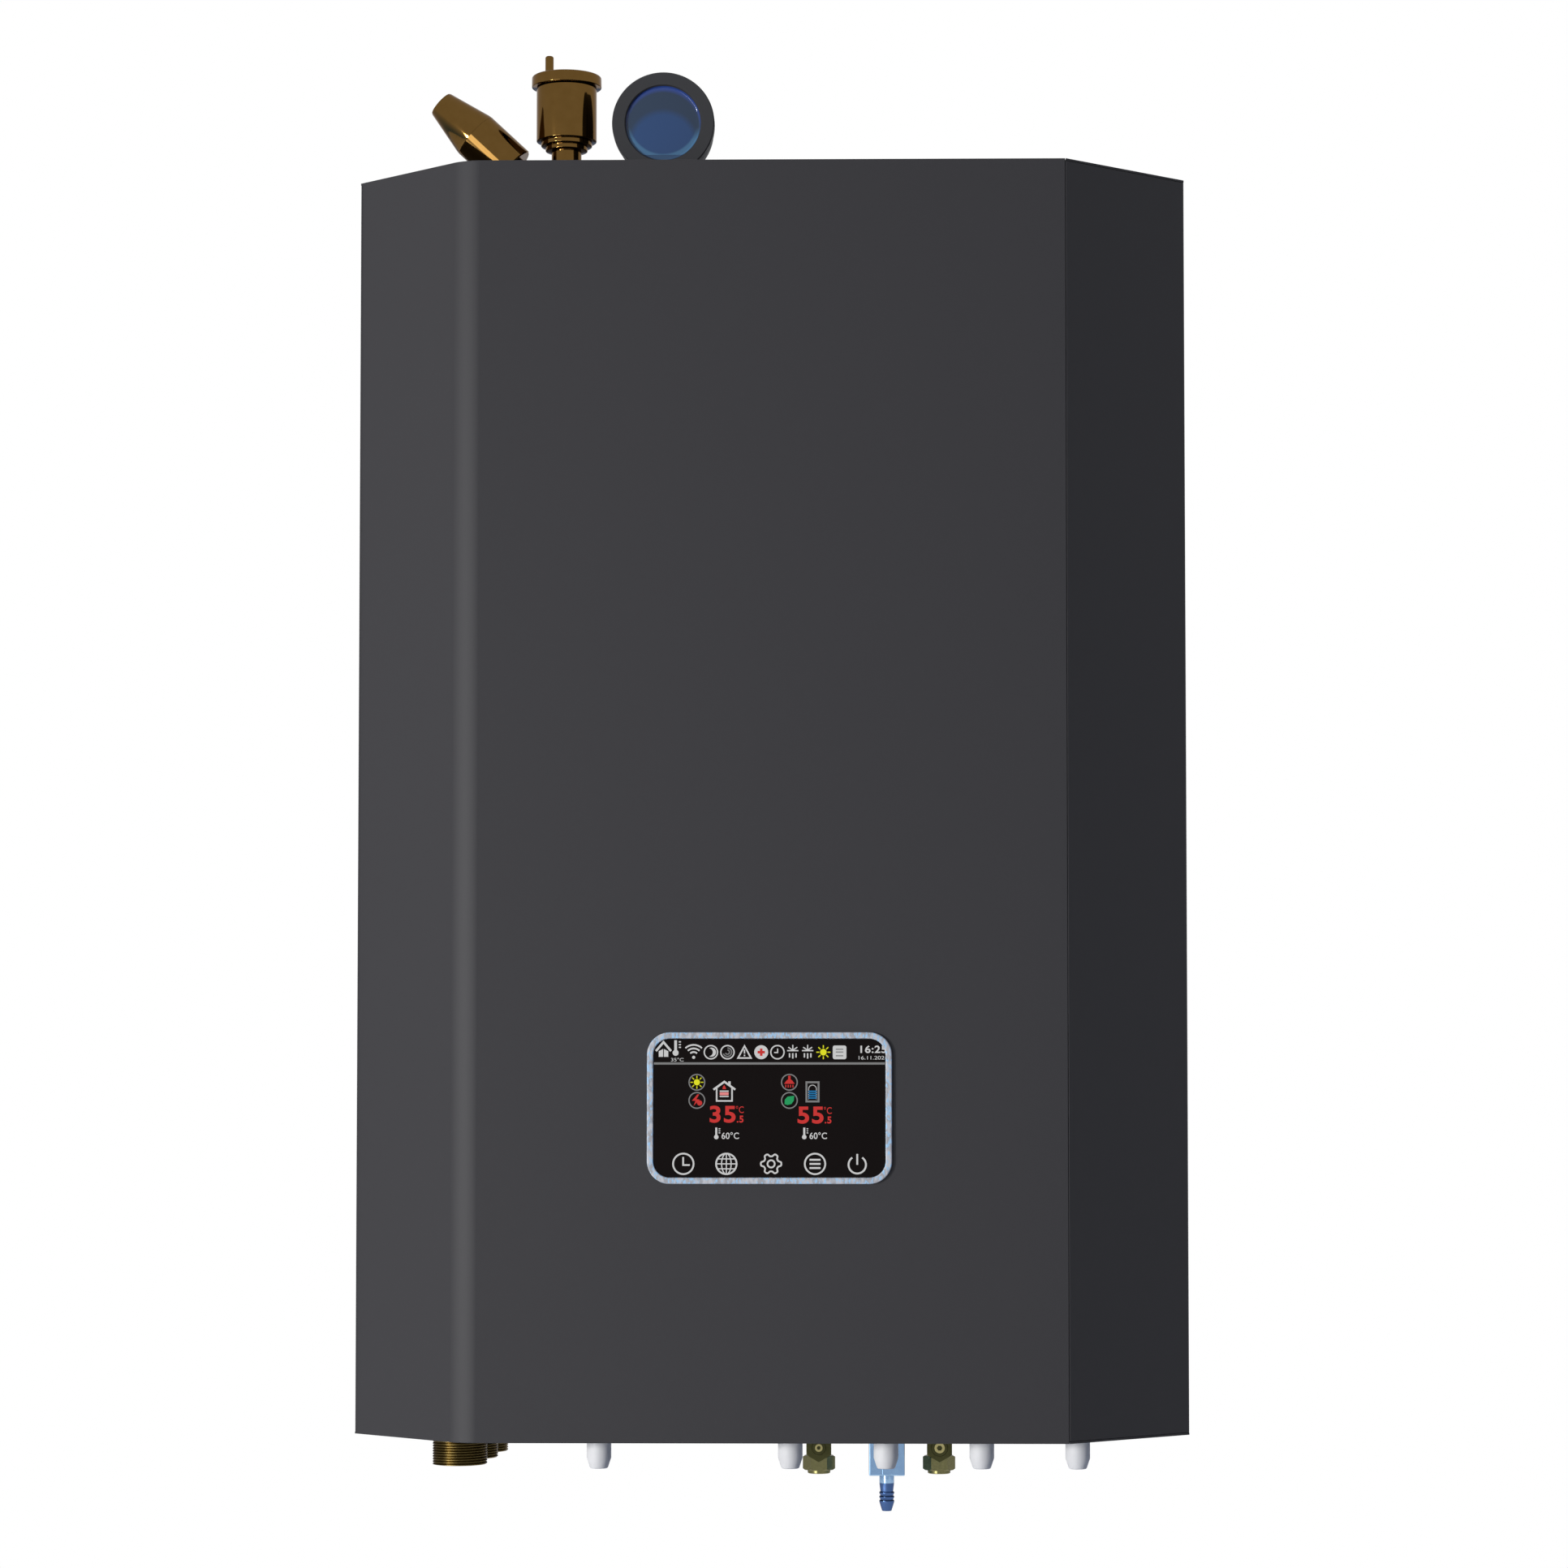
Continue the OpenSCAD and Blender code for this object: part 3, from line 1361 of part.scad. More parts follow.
module main_board() {
    inset = 8;
    x0 = box_left + inset;
    x1 = box_right - inset;
    z0 = box_z + inset;
    z1 = box_top - inset;
    color(board_green) in_case() {
        block([x0, board_front, z0], [x1, board_y, z1]);
        for (x = [x0 + 8, x1 - 8]) for (z = [z0 + 8, z1 - 8]) {
            rod_y(3, board_y - eps, box_back - sheet - seam, x, z);
        }
        // Twelve terminals, four relays, the transformer, the processor and three capacitors
        for (i = [0 : 11]) on_board(x0 + 8 + i * 17.5, z0 + 6, 15, 18, 14);
        for (i = [0 : 3]) on_board(x0 + 14 + i * 30, z0 + 50, 20, 30, 16);
        on_board(x1 - 76, z0 + 60, 56, 50, 26);
        on_board(x0 + 40, z1 - 80, 24, 24, 3);
        for (i = [0 : 2]) rod_y(8, board_front - 24, board_front + eps, x1 - 120 + i * 22, z1 - 40);
    }
}

front_cover();
screen_frame();
screen_glass();
left_panel();
right_panel();
top_panel();
bottom_panel();
back_panel();
brackets();
cover_clips();
wall_rail();
panel_screws();
supply_stub();
tank_stub();
return_stub();
cable_glands();
gland_nuts();
gas_valve();
liquid_valve();
gas_spindle();
liquid_spindle();
flare_nuts();
drain_block();
hose_barb();
drain_key();
safety_manifold();
relief_body();
relief_knob();
relief_disc();
vent_body();
vent_cap();
bleed_screw();
vent_float();
gauge_case();
gauge_ring();
gauge_glass();
gauge_needle();
expansion_vessel();
plate_exchanger();
heater_tube();
heater_element();
pump_housing();
pump_motor();
pump_rotor();
diverter_body();
diverter_ball();
diverter_actuator();
diverter_lever();
return_pipe();
exchanger_pipe();
heater_pipe();
manifold_pipe();
supply_pipe();
vessel_pipe();
drain_pipe();
gas_pipe();
liquid_pipe();
control_box();
control_lid();
main_board();
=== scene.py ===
from math import atan2, cos, pi, radians, sin, sqrt, tan

import bmesh
import bpy
from mathutils import Matrix, Vector


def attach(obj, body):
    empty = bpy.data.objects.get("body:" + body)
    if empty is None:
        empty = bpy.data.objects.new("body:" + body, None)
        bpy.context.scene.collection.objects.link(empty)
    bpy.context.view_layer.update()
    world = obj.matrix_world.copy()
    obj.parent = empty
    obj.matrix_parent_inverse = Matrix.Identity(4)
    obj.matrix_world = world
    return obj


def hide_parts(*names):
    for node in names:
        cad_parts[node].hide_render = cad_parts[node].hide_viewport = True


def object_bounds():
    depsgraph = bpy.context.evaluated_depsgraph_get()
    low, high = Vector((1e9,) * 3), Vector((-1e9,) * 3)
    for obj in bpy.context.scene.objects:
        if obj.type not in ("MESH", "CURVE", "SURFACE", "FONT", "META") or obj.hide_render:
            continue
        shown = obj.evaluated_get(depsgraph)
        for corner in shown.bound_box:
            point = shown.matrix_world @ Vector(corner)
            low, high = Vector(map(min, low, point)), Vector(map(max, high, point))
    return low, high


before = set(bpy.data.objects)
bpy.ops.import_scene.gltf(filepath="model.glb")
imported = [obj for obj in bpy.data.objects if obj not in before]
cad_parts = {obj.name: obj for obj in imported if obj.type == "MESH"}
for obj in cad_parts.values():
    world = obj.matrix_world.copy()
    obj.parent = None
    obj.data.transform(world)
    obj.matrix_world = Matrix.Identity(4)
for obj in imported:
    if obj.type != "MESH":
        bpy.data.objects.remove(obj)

scene = bpy.context.scene
scene.view_settings.view_transform = "Standard"
cad_low, cad_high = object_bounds()

# The camera stands level with the lower part of the unit, a little to the right of its middle
# and 2.65 m away, as for a catalogue picture: a long lens keeps the casing's sides upright.
LENS_MM = 93.168
CAMERA_PLACE = (0.04751, -2.65617, -0.44692)
CAMERA_TILT = 2.703
CAMERA_TURN = 0.938
FRAME_SHIFT = 0.06

camera_data = bpy.data.cameras.new("camera")
camera_data.sensor_width = 36
camera_data.lens = LENS_MM
camera_data.shift_y = FRAME_SHIFT
camera = bpy.data.objects.new("camera", camera_data)
camera.location = CAMERA_PLACE
camera.rotation_euler = (radians(90 + CAMERA_TILT), 0, radians(CAMERA_TURN))
scene.collection.objects.link(camera)
scene.camera = camera


# The studio: a pale painted floor, a white surround that the camera and all gloss see, and a
# cool, dimmer fill from it on matt surfaces. The main lamp stands level on the left, two lower
# ones give the sparkle, the second of them to gloss alone, and a room light comes from behind.
def colour(code):
    """A colour written as sRGB hex, as the linear values that Blender reckons with."""
    parts = [int(code[i:i + 2], 16) / 255 for i in (1, 3, 5)]
    return tuple(p / 12.92 if p <= 0.04045 else ((p + 0.055) / 1.055) ** 2.4 for p in parts) + (1.0,)


def add(tree, kind, inputs=None, **settings):
    """Adds one node. An input is a value, a hex colour, a node or one of its outputs."""
    node = tree.nodes.new("ShaderNode" + kind)
    for name, value in settings.items():
        setattr(node, name, value)
    for name, value in (inputs or {}).items():
        if isinstance(value, bpy.types.Node):
            value = value.outputs[0]
        if isinstance(value, bpy.types.NodeSocket):
            tree.links.new(value, node.inputs[name])
        else:
            node.inputs[name].default_value = colour(value) if isinstance(value, str) else value
    return node


def new_finish(name):
    """An empty material, its node tree, and the place on the piece that its patterns read."""
    made = bpy.data.materials.new(name)
    made.use_nodes = True
    made.node_tree.nodes.clear()
    here = add(made.node_tree, "TexCoord").outputs["Object"]
    return made, made.node_tree, here


def end_finish(tree, inputs):
    """Closes a finish with its shader."""
    add(tree, "OutputMaterial", {"Surface": add(tree, "BsdfPrincipled", inputs)})


MM = 0.001
FILL = (0.17, 0.20, 0.28, 1.0)
WHITE = "#ffffff"
DUSK = "#5f8ac4"
DUSK_HEIGHT = -0.25
FLOOR_DROP = 1.75
FLOOR_HALF = 7.5

world = bpy.data.worlds.new("studio")
scene.world = world
world.use_nodes = True
tree = world.node_tree
tree.nodes.clear()
rays = add(tree, "LightPath").outputs
seen = add(tree, "Math", {0: rays["Is Camera Ray"], 1: rays["Is Glossy Ray"]}, operation="MAXIMUM")
seen = add(tree, "Math", {0: seen, 1: rays["Is Transmission Ray"]}, operation="MAXIMUM")
# Gloss sees white all round, and a dusky blue below the level of the eye
way = add(tree, "SeparateXYZ", {"Vector": add(tree, "TexCoord").outputs["Generated"]})
height = add(tree, "MapRange", {"Value": way.outputs["Z"], "From Min": DUSK_HEIGHT, "From Max": 0.0})
gloss_sky = add(tree, "MixRGB", {"Fac": height, "Color1": DUSK, "Color2": WHITE})
sky = add(tree, "MixRGB", {"Fac": rays["Is Glossy Ray"], "Color1": WHITE, "Color2": gloss_sky})
fill = add(tree, "Background", {"Color": FILL})
pale_sky = add(tree, "Background", {"Color": sky})
add(tree, "OutputWorld", {"Surface": add(tree, "MixShader", {0: seen, 1: fill, 2: pale_sky})})

# Matt emulsion on a screed floor: pale, with the faint clouding of a roller
floor_paint, tree, here = new_finish("matt_floor_emulsion")
clouds = add(tree, "TexNoise", {"Vector": here, "Scale": 1 / (180 * MM), "Detail": 4.0})
pale = add(tree, "MixRGB", {"Fac": clouds, "Color1": "#f1f1f2", "Color2": "#f5f5f5"})
end_finish(tree, {"Base Color": pale, "Roughness": 0.85, "Specular IOR Level": 0.2})

floor_bm = bmesh.new()
bmesh.ops.create_grid(floor_bm, x_segments=1, y_segments=1, size=FLOOR_HALF,
                      matrix=Matrix.Translation((0, 0, -FLOOR_DROP)))
floor_mesh = bpy.data.meshes.new("floor")
floor_bm.to_mesh(floor_mesh)
floor_mesh.materials.append(floor_paint)
floor = bpy.data.objects.new("floor", floor_mesh)
# The floor takes light and shadow but throws none back, so the fill comes evenly from all sides
floor.visible_diffuse = False
scene.collection.objects.link(floor)


def stand(data, left, above, distance):
    """Stands a lamp round the unit's middle and turns it there."""
    left, above = radians(left), radians(above)
    out = Vector((-sin(left) * cos(above), -cos(left) * cos(above), sin(above)))
    made = bpy.data.objects.new(data.name, data)
    made.location = (cad_low + cad_high) / 2 + out * distance
    made.rotation_euler = out.to_track_quat("Z", "Y").to_euler()
    scene.collection.objects.link(made)
    return made


def soft_box(name, left, above, distance, size, level):
    """A square lamp; level is what it adds to a white face that is turned to it."""
    data = bpy.data.lights.new(name, "AREA")
    data.size = size
    data.energy = level * pi * pi * distance ** 2
    return stand(data, left, above, distance)


soft_box("main_lamp", left=46, above=0, distance=5.0, size=0.6, level=0.83)
soft_box("low_lamp", left=31, above=-7, distance=6.0, size=2.1, level=0.24)
soft_box("sheen_lamp", left=31, above=-7, distance=6.0, size=1.8, level=0.24).visible_diffuse = False
room = bpy.data.lights.new("room_light", "SUN")
room.energy = 0.93 * pi
room.angle = radians(30)
stand(room, left=-150, above=65, distance=6.0).visible_glossy = False


# Back of the unit: a flat galvanised plate with the hook strip, the rail that is bolted to the
# wall, the brackets inside and the plated screws. Hot-dip zinc shows large, dull crystals.
SPANGLE = 9 * MM


def paint(finish, *nodes):
    """Gives a finish to pieces that show their CAD shape."""
    for name in nodes:
        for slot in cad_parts[name].material_slots:
            slot.material = finish


zinc, tree, here = new_finish("hot_dip_galvanised_steel")
cells = add(tree, "TexVoronoi", {"Vector": here, "Scale": 1 / SPANGLE})
frost = add(tree, "TexNoise", {"Vector": here, "Scale": 1 / (1.5 * MM), "Detail": 3.0})
grey = add(tree, "MixRGB", {"Fac": cells, "Color1": "#a9adb1", "Color2": "#c3c7ca"})
dull = add(tree, "MapRange", {"Value": frost, "To Min": 0.32, "To Max": 0.55})
end_finish(tree, {"Base Color": grey, "Metallic": 1.0, "Roughness": dull})
paint(zinc, "back_panel", "wall_rail", "brackets", "panel_screws", "control_box", "control_lid")


# Casing plates above and below, and everything else of the casing: 1.2 mm sheet steel, bent and
# powder-coated. The baked powder is nearly matt, with a fine pebbled skin that breaks up gloss.
PEBBLE = 0.7 * MM

powder_coat, tree, here = new_finish("powder_coated_steel")
pebbles = add(tree, "TexNoise", {"Vector": here, "Scale": 1 / PEBBLE, "Detail": 2.0})
patches = add(tree, "TexNoise", {"Vector": here, "Scale": 1 / (60 * MM), "Detail": 3.0})
speck = add(tree, "MixRGB", {"Fac": pebbles, "Color1": "#262527", "Color2": "#2b2a2c"})
patch = add(tree, "MixRGB", {"Fac": patches, "Color1": "#282729", "Color2": speck})
skin = add(tree, "Bump", {"Height": pebbles, "Distance": 0.06 * MM, "Strength": 0.5})
end_finish(tree, {"Base Color": patch, "Roughness": 0.57, "Specular IOR Level": 0.22, "Normal": skin})
paint(powder_coat, "top_panel", "bottom_panel")


# Water stubs: three brass tails with a pipe thread below the casing and a hexagon seat above.
# The thread is cut on a lathe, so its ridges run round in one spiral, bright on their crests.
CASE_LOW = 665
CASE_TO_FRAME = Matrix.Scale(MM, 4) @ Matrix.Translation((0, 0, -CASE_LOW))
STUB_X = -188.5
STUB_PLACES = {"supply_stub": (-195, -19.5), "tank_stub": (-120, -22.5), "return_stub": (-45, -25.5)}
STUB_R = 16.6
STUB_NECK_R = 16.0
STUB_BORE_R = 12.5
STUB_TAIL_R = 14
STUB_TOP = 42
SEAT_FLATS = 38
SEAT_LOW = 1.5
SEAT_TOP = 14
THREAD_TOP = -1.5
THREAD_PITCH = 1.55
THREAD_DEPTH = 0.75
THREAD_STEPS = 48
CREST_DROP = 0.1
ROUND_STEPS = 64
SHARP = radians(30)
CHAMFER_SLOPE = 1.7
NEAR = 1e-3


def close_up(bm):
    """Joins doubled points and turns all faces outwards."""
    bmesh.ops.remove_doubles(bm, verts=bm.verts, dist=NEAR)
    bmesh.ops.recalc_face_normals(bm, faces=bm.faces)


def added(bm, before):
    """The points that have come since."""
    return [v for v in bm.verts if v not in before]


def once(items):
    """A list without its repeats, in its own order."""
    return list(dict.fromkeys(items))


def turned(bm, profile, place=Matrix.Identity(4), closed=False, steps=ROUND_STEPS):
    """Turns a profile of (radius, height) points round the Z axis, and then puts it in its place."""
    before = set(bm.verts)
    verts = [bm.verts.new((r, 0, z)) for r, z in profile]
    pairs = list(zip(verts, verts[1:])) + ([(verts[-1], verts[0])] if closed else [])
    edges = [bm.edges.new(pair) for pair in pairs]
    bmesh.ops.spin(bm, geom=verts + edges, cent=(0, 0, 0), axis=(0, 0, 1), angle=2 * pi, steps=steps,
                   use_merge=True)
    bmesh.ops.transform(bm, matrix=place, verts=added(bm, before))


def as_piece(bm, name, finish, body, slot, *nodes):
    """Makes a mesh, drawn in millimetres from the casing's bottom, a piece in the frame's metres."""
    bmesh.ops.transform(bm, matrix=CASE_TO_FRAME, verts=bm.verts)
    mesh = bpy.data.meshes.new(name)
    bm.to_mesh(mesh)
    bm.free()
    mesh.materials.append(finish)
    mesh.shade_smooth()
    mesh.set_sharp_from_angle(angle=SHARP)
    piece = bpy.data.objects.new(name, mesh)
    scene.collection.objects.link(piece)
    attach(piece, body)
    if nodes:
        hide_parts(*nodes)
    return piece


def hexagon(bm, flats, z0, z1, chamfer, place=Matrix.Identity(4)):
    """A hexagon along Z, its corners chamfered at both ends as on a nut, then put in its place."""
    before = set(bm.verts)
    r = flats / sqrt(3)
    middle = (z0 + z1) / 2
    bmesh.ops.create_cone(bm, cap_ends=True, segments=6, radius1=r, radius2=r, depth=z1 - z0,
                          matrix=Matrix.Translation((0, 0, middle)) @ Matrix.Rotation(pi / 6, 4, "Z"))
    for corner in [v.co.copy() for v in added(bm, before)]:
        out = Vector((corner.x, corner.y, 0)).normalized()
        slope = Vector((0, 0, CHAMFER_SLOPE if corner.z > middle else -CHAMFER_SLOPE))
        solid = once(g for v in added(bm, before) for g in (v, *v.link_edges, *v.link_faces))
        cut = bmesh.ops.bisect_plane(bm, geom=solid, plane_co=corner - out * chamfer, plane_no=out + slope,
                                     clear_outer=True)
        rim = [g for g in cut["geom_cut"] if isinstance(g, bmesh.types.BMEdge)]
        bmesh.ops.edgeloop_fill(bm, edges=rim)
    bmesh.ops.transform(bm, matrix=place, verts=added(bm, before))


DULL_EDGE = (0.72, 0.68, 0.66, 1.0)

brass, tree, here = new_finish("turned_brass")
tarnish = add(tree, "TexNoise", {"Vector": here, "Scale": 1 / (6 * MM), "Detail": 4.0})
tool_marks = add(tree, "TexNoise", {"Vector": here, "Scale": 1 / (0.5 * MM), "Detail": 1.0})
warm = add(tree, "MixRGB", {"Fac": tarnish, "Color1": "#5c4420", "Color2": "#664d28"})
gloss = add(tree, "MapRange", {"Value": tarnish, "To Min": 0.06, "To Max": 0.09})
marks = add(tree, "Bump", {"Height": tool_marks, "Distance": 0.01 * MM, "Strength": 0.15})
end_finish(tree, {"Base Color": warm, "Metallic": 1.0, "Roughness": gloss,
                  "Specular Tint": DULL_EDGE, "Normal": marks})

# The tails have dulled: browner and less glossy than the brass above the casing
dull_brass, tree, here = new_finish("tarnished_brass")
bloom = add(tree, "TexNoise", {"Vector": here, "Scale": 1 / (7 * MM), "Detail": 4.0})
brown = add(tree, "MixRGB", {"Fac": bloom, "Color1": "#514527", "Color2": "#625532"})
gloss = add(tree, "MapRange", {"Value": bloom, "To Min": 0.26, "To Max": 0.36})
end_finish(tree, {"Base Color": brown, "Metallic": 1.0, "Roughness": gloss, "Specular Tint": DULL_EDGE})


def threaded_tube(bm, r, bore, low, high):
    """A spiral thread with its bore: one strip wound round, cut level at both ends and closed."""
    turns = int((high - low) / THREAD_PITCH) + 3
    start = low - THREAD_PITCH
    root, crest = r - THREAD_DEPTH, r - CREST_DROP
    rise = [(root, 0), (crest, 0.42), (crest, 0.58), (root, 1)]
    verts = [bm.verts.new((x, 0, start + THREAD_PITCH * share)) for x, share in rise]
    edges = [bm.edges.new(pair) for pair in zip(verts, verts[1:])]
    bmesh.ops.spin(bm, geom=verts + edges, cent=(0, 0, 0), axis=(0, 0, 1), angle=turns * 2 * pi,
                   steps=turns * THREAD_STEPS, dvec=(0, 0, THREAD_PITCH / THREAD_STEPS))
    bmesh.ops.remove_doubles(bm, verts=bm.verts, dist=NEAR)
    for z, way in ((low, -1), (high, 1)):
        bmesh.ops.bisect_plane(bm, geom=[*bm.verts, *bm.edges, *bm.faces], plane_co=(0, 0, z),
                               plane_no=(0, 0, way), clear_outer=True)
    for z in (low, high):
        rim = [e for e in bm.edges if e.is_boundary and all(abs(v.co.z - z) < NEAR for v in e.verts)]
        inner = bmesh.ops.create_circle(bm, segments=THREAD_STEPS, radius=bore,
                                        matrix=Matrix.Translation((0, 0, z)))
        bmesh.ops.bridge_loops(bm, edges=rim + once(e for v in inner["verts"] for e in v.link_edges))
    bmesh.ops.bridge_loops(bm, edges=[e for e in bm.edges if e.is_boundary])
    close_up(bm)


for name, (y, end) in STUB_PLACES.items():
    bm = bmesh.new()
    threaded_tube(bm, STUB_R, STUB_BORE_R, end, THREAD_TOP)
    turned(bm, [(STUB_BORE_R, THREAD_TOP), (STUB_NECK_R, THREAD_TOP), (STUB_NECK_R, 2), (STUB_TAIL_R, 2.5),
                (STUB_TAIL_R, STUB_TOP), (STUB_BORE_R, STUB_TOP)], closed=True)
    close_up(bm)
    hexagon(bm, SEAT_FLATS, SEAT_LOW, SEAT_TOP, 1.6)
    bmesh.ops.translate(bm, vec=(STUB_X, y, 0), verts=bm.verts)
    as_piece(bm, "threaded_" + name, dull_brass, "unit", "fitting_brass", name)


# Water side inside the casing: cast diverter, copper pipes, plate heat exchanger, heater, pump
# and expansion vessel, each left in its CAD shape and finished as it comes from its maker.
copper, tree, here = new_finish("drawn_copper_tube")
bloom = add(tree, "TexNoise", {"Vector": here, "Scale": 1 / (14 * MM), "Detail": 5.0})
red_brown = add(tree, "MixRGB", {"Fac": bloom, "Color1": "#a8603f", "Color2": "#c98559"})
dull = add(tree, "MapRange", {"Value": bloom, "To Min": 0.22, "To Max": 0.4})
end_finish(tree, {"Base Color": red_brown, "Metallic": 1.0, "Roughness": dull})
paint(copper, "return_pipe", "exchanger_pipe", "heater_pipe", "manifold_pipe", "supply_pipe", "vessel_pipe",
      "drain_pipe", "gas_pipe", "liquid_pipe")

# Rolled stainless sheet, pressed and brazed: fine lines along the sheet, a satin sheen
stainless, tree, here = new_finish("pressed_stainless_steel")
lay = add(tree, "Mapping", {"Vector": here, "Scale": (1.0, 1.0, 0.04)})
lines = add(tree, "TexNoise", {"Vector": lay, "Scale": 1 / (0.8 * MM), "Detail": 2.0})
steel = add(tree, "MixRGB", {"Fac": lines, "Color1": "#9a9da1", "Color2": "#b4b7ba"})
dull = add(tree, "MapRange", {"Value": lines, "To Min": 0.25, "To Max": 0.38})
end_finish(tree, {"Base Color": steel, "Metallic": 1.0, "Roughness": dull})
paint(stainless, "plate_exchanger", "heater_tube", "heater_element", "pump_rotor", "diverter_ball",
      "relief_disc")

# Red enamel sprayed on the vessel's deep-drawn steel: glossy, with a slight orange peel
red_enamel, tree, here = new_finish("sprayed_red_enamel")
peel = add(tree, "TexNoise", {"Vector": here, "Scale": 1 / (2.5 * MM), "Detail": 2.0})
red = add(tree, "MixRGB", {"Fac": peel, "Color1": "#8e1715", "Color2": "#9c1d1a"})
skin = add(tree, "Bump", {"Height": peel, "Distance": 0.1 * MM, "Strength": 0.4})
end_finish(tree, {"Base Color": red, "Roughness": 0.28, "Normal": skin})
paint(red_enamel, "expansion_vessel")

# Sand-cast iron under a dipped black primer: a coarse, dull skin
cast_iron, tree, here = new_finish("primed_cast_iron")
sand = add(tree, "TexNoise", {"Vector": here, "Scale": 1 / (1.2 * MM), "Detail": 4.0})
iron = add(tree, "MixRGB", {"Fac": sand, "Color1": "#2a2b2d", "Color2": "#3a3b3d"})
skin = add(tree, "Bump", {"Height": sand, "Distance": 0.3 * MM, "Strength": 0.6})
end_finish(tree, {"Base Color": iron, "Roughness": 0.62, "Normal": skin})
paint(cast_iron, "pump_housing", "pump_motor")

# Moulded plastics: a spark-eroded mould leaves a fine, even grain
black_plastic, tree, here = new_finish("moulded_black_plastic")
grain = add(tree, "TexNoise", {"Vector": here, "Scale": 1 / (0.5 * MM), "Detail": 2.0})
dark = add(tree, "MixRGB", {"Fac": grain, "Color1": "#1d1d1f", "Color2": "#262628"})
skin = add(tree, "Bump", {"Height": grain, "Distance": 0.04 * MM, "Strength": 0.5})
end_finish(tree, {"Base Color": dark, "Roughness": 0.45, "Normal": skin})
paint(black_plastic, "diverter_actuator")

red_plastic, tree, here = new_finish("moulded_red_plastic")
grain = add(tree, "TexNoise", {"Vector": here, "Scale": 1 / (0.5 * MM), "Detail": 2.0})
red = add(tree, "MixRGB", {"Fac": grain, "Color1": "#a81f1a", "Color2": "#b82822"})
end_finish(tree, {"Base Color": red, "Roughness": 0.42})
paint(red_plastic, "diverter_lever")
paint(brass, "diverter_body", "safety_manifold")

# Glass-fibre board under green solder resist; what stands on it is dark plastic and blue blocks
BOARD_FRONT = -202.8

board, tree, here = new_finish("printed_circuit_board")
place = add(tree, "SeparateXYZ", {"Vector": here})
part = add(tree, "Math", {0: place.outputs["Y"], 1: BOARD_FRONT * MM}, operation="LESS_THAN")
tracks = add(tree, "TexBrick", {"Vector": here, "Scale": 1 / (6 * MM), "Color1": "#14532f",
                                "Color2": "#186038", "Mortar": "#2b7c4e", "Mortar Size": 0.08})
blocks = add(tree, "TexVoronoi", {"Vector": here, "Scale": 1 / (24 * MM)})
parts = add(tree, "MixRGB", {"Fac": blocks.outputs["Color"], "Color1": "#1b1c1f", "Color2": "#2e4f86"})
face = add(tree, "MixRGB", {"Fac": part, "Color1": tracks, "Color2": parts})
end_finish(tree, {"Base Color": face, "Roughness": 0.4})
paint(board, "main_board")


# Cable glands: five white nylon glands in a row, each a smooth tube that narrows to its mouth
# and grips a cable; a nut inside holds it. Nylon is matt white and a little waxy.
GLAND_XS = (182, 125.2, 68.4, 11.6, -102)
GLAND_Y = -235
GLAND_STEPS = 48
GLAND_PROFILE = [(3.5, -17.6), (4.1, -18.2), (4.8, -18.2), (5.4, -17.6), (7.3, -11.9), (7.3, -0.3),
                 (5.9, -0.3), (5.9, 12), (3.5, 12)]


def sharp_edges(bm, angle):
    """The edges at which two faces meet at more than an angle."""
    return [e for e in bm.edges if e.is_manifold and e.calc_face_angle() > angle]


def round_off(bm, edges, width, segments, clamp=False):
    """Rounds some edges to a width on each side."""
    bmesh.ops.bevel(bm, geom=edges, offset=width, segments=segments, profile=0.5, affect="EDGES",
                    material=-1, clamp_overlap=clamp)


def ease(bm, width, segments=2):
    """Rounds every edge that is sharper than a lathe's facets."""
    round_off(bm, sharp_edges(bm, SHARP), width, segments, clamp=True)


def crisp(piece):
    """Keeps flat faces flat in the light where their edges are rounded."""
    piece.modifiers.new("shading", "WEIGHTED_NORMAL").keep_sharp = True


nylon, tree, here = new_finish("moulded_white_nylon")
flow = add(tree, "TexNoise", {"Vector": here, "Scale": 1 / (5 * MM), "Detail": 3.0})
pale = add(tree, "MixRGB", {"Fac": flow, "Color1": "#cfcecd", "Color2": "#d9d8d7"})
skin = add(tree, "Bump", {"Height": flow, "Distance": 0.1 * MM, "Strength": 0.2})
end_finish(tree, {"Base Color": pale, "Roughness": 0.5, "Specular IOR Level": 0.3, "Normal": skin})

bm = bmesh.new()
for x in GLAND_XS:
    turned(bm, GLAND_PROFILE, Matrix.Translation((x, GLAND_Y, 0)), closed=True, steps=GLAND_STEPS)
close_up(bm)
ease(bm, 0.35)
crisp(as_piece(bm, "glands", nylon, "unit", "white_nylon", "cable_glands"))
paint(nylon, "gland_nuts", "cover_clips", "vent_float")


# Service valves of the refrigerant side: forged brass bodies left as they come from the die,
# a hexagon round each spindle, and a flare nut below. The metal has dulled to olive.
VALVE_Y = -180
VALVE_XS = {"gas": 28.2, "liquid": 101}
SPINDLE_R = {"gas": 2.3, "liquid": 3.1}
SPINDLE_Z = -9.6
SPINDLE_PLAY = 0.08
BONNET_FLATS = 15
BONNET_BACK = 9.2
BONNET_FRONT = 16.6
NUT_FLATS = 17
NUT_TOP = -15.6
NUT_LOW = -24.2
NUT_END = NUT_LOW - 2.1
FACING_FRONT = Matrix.Rotation(pi / 2, 4, "X")

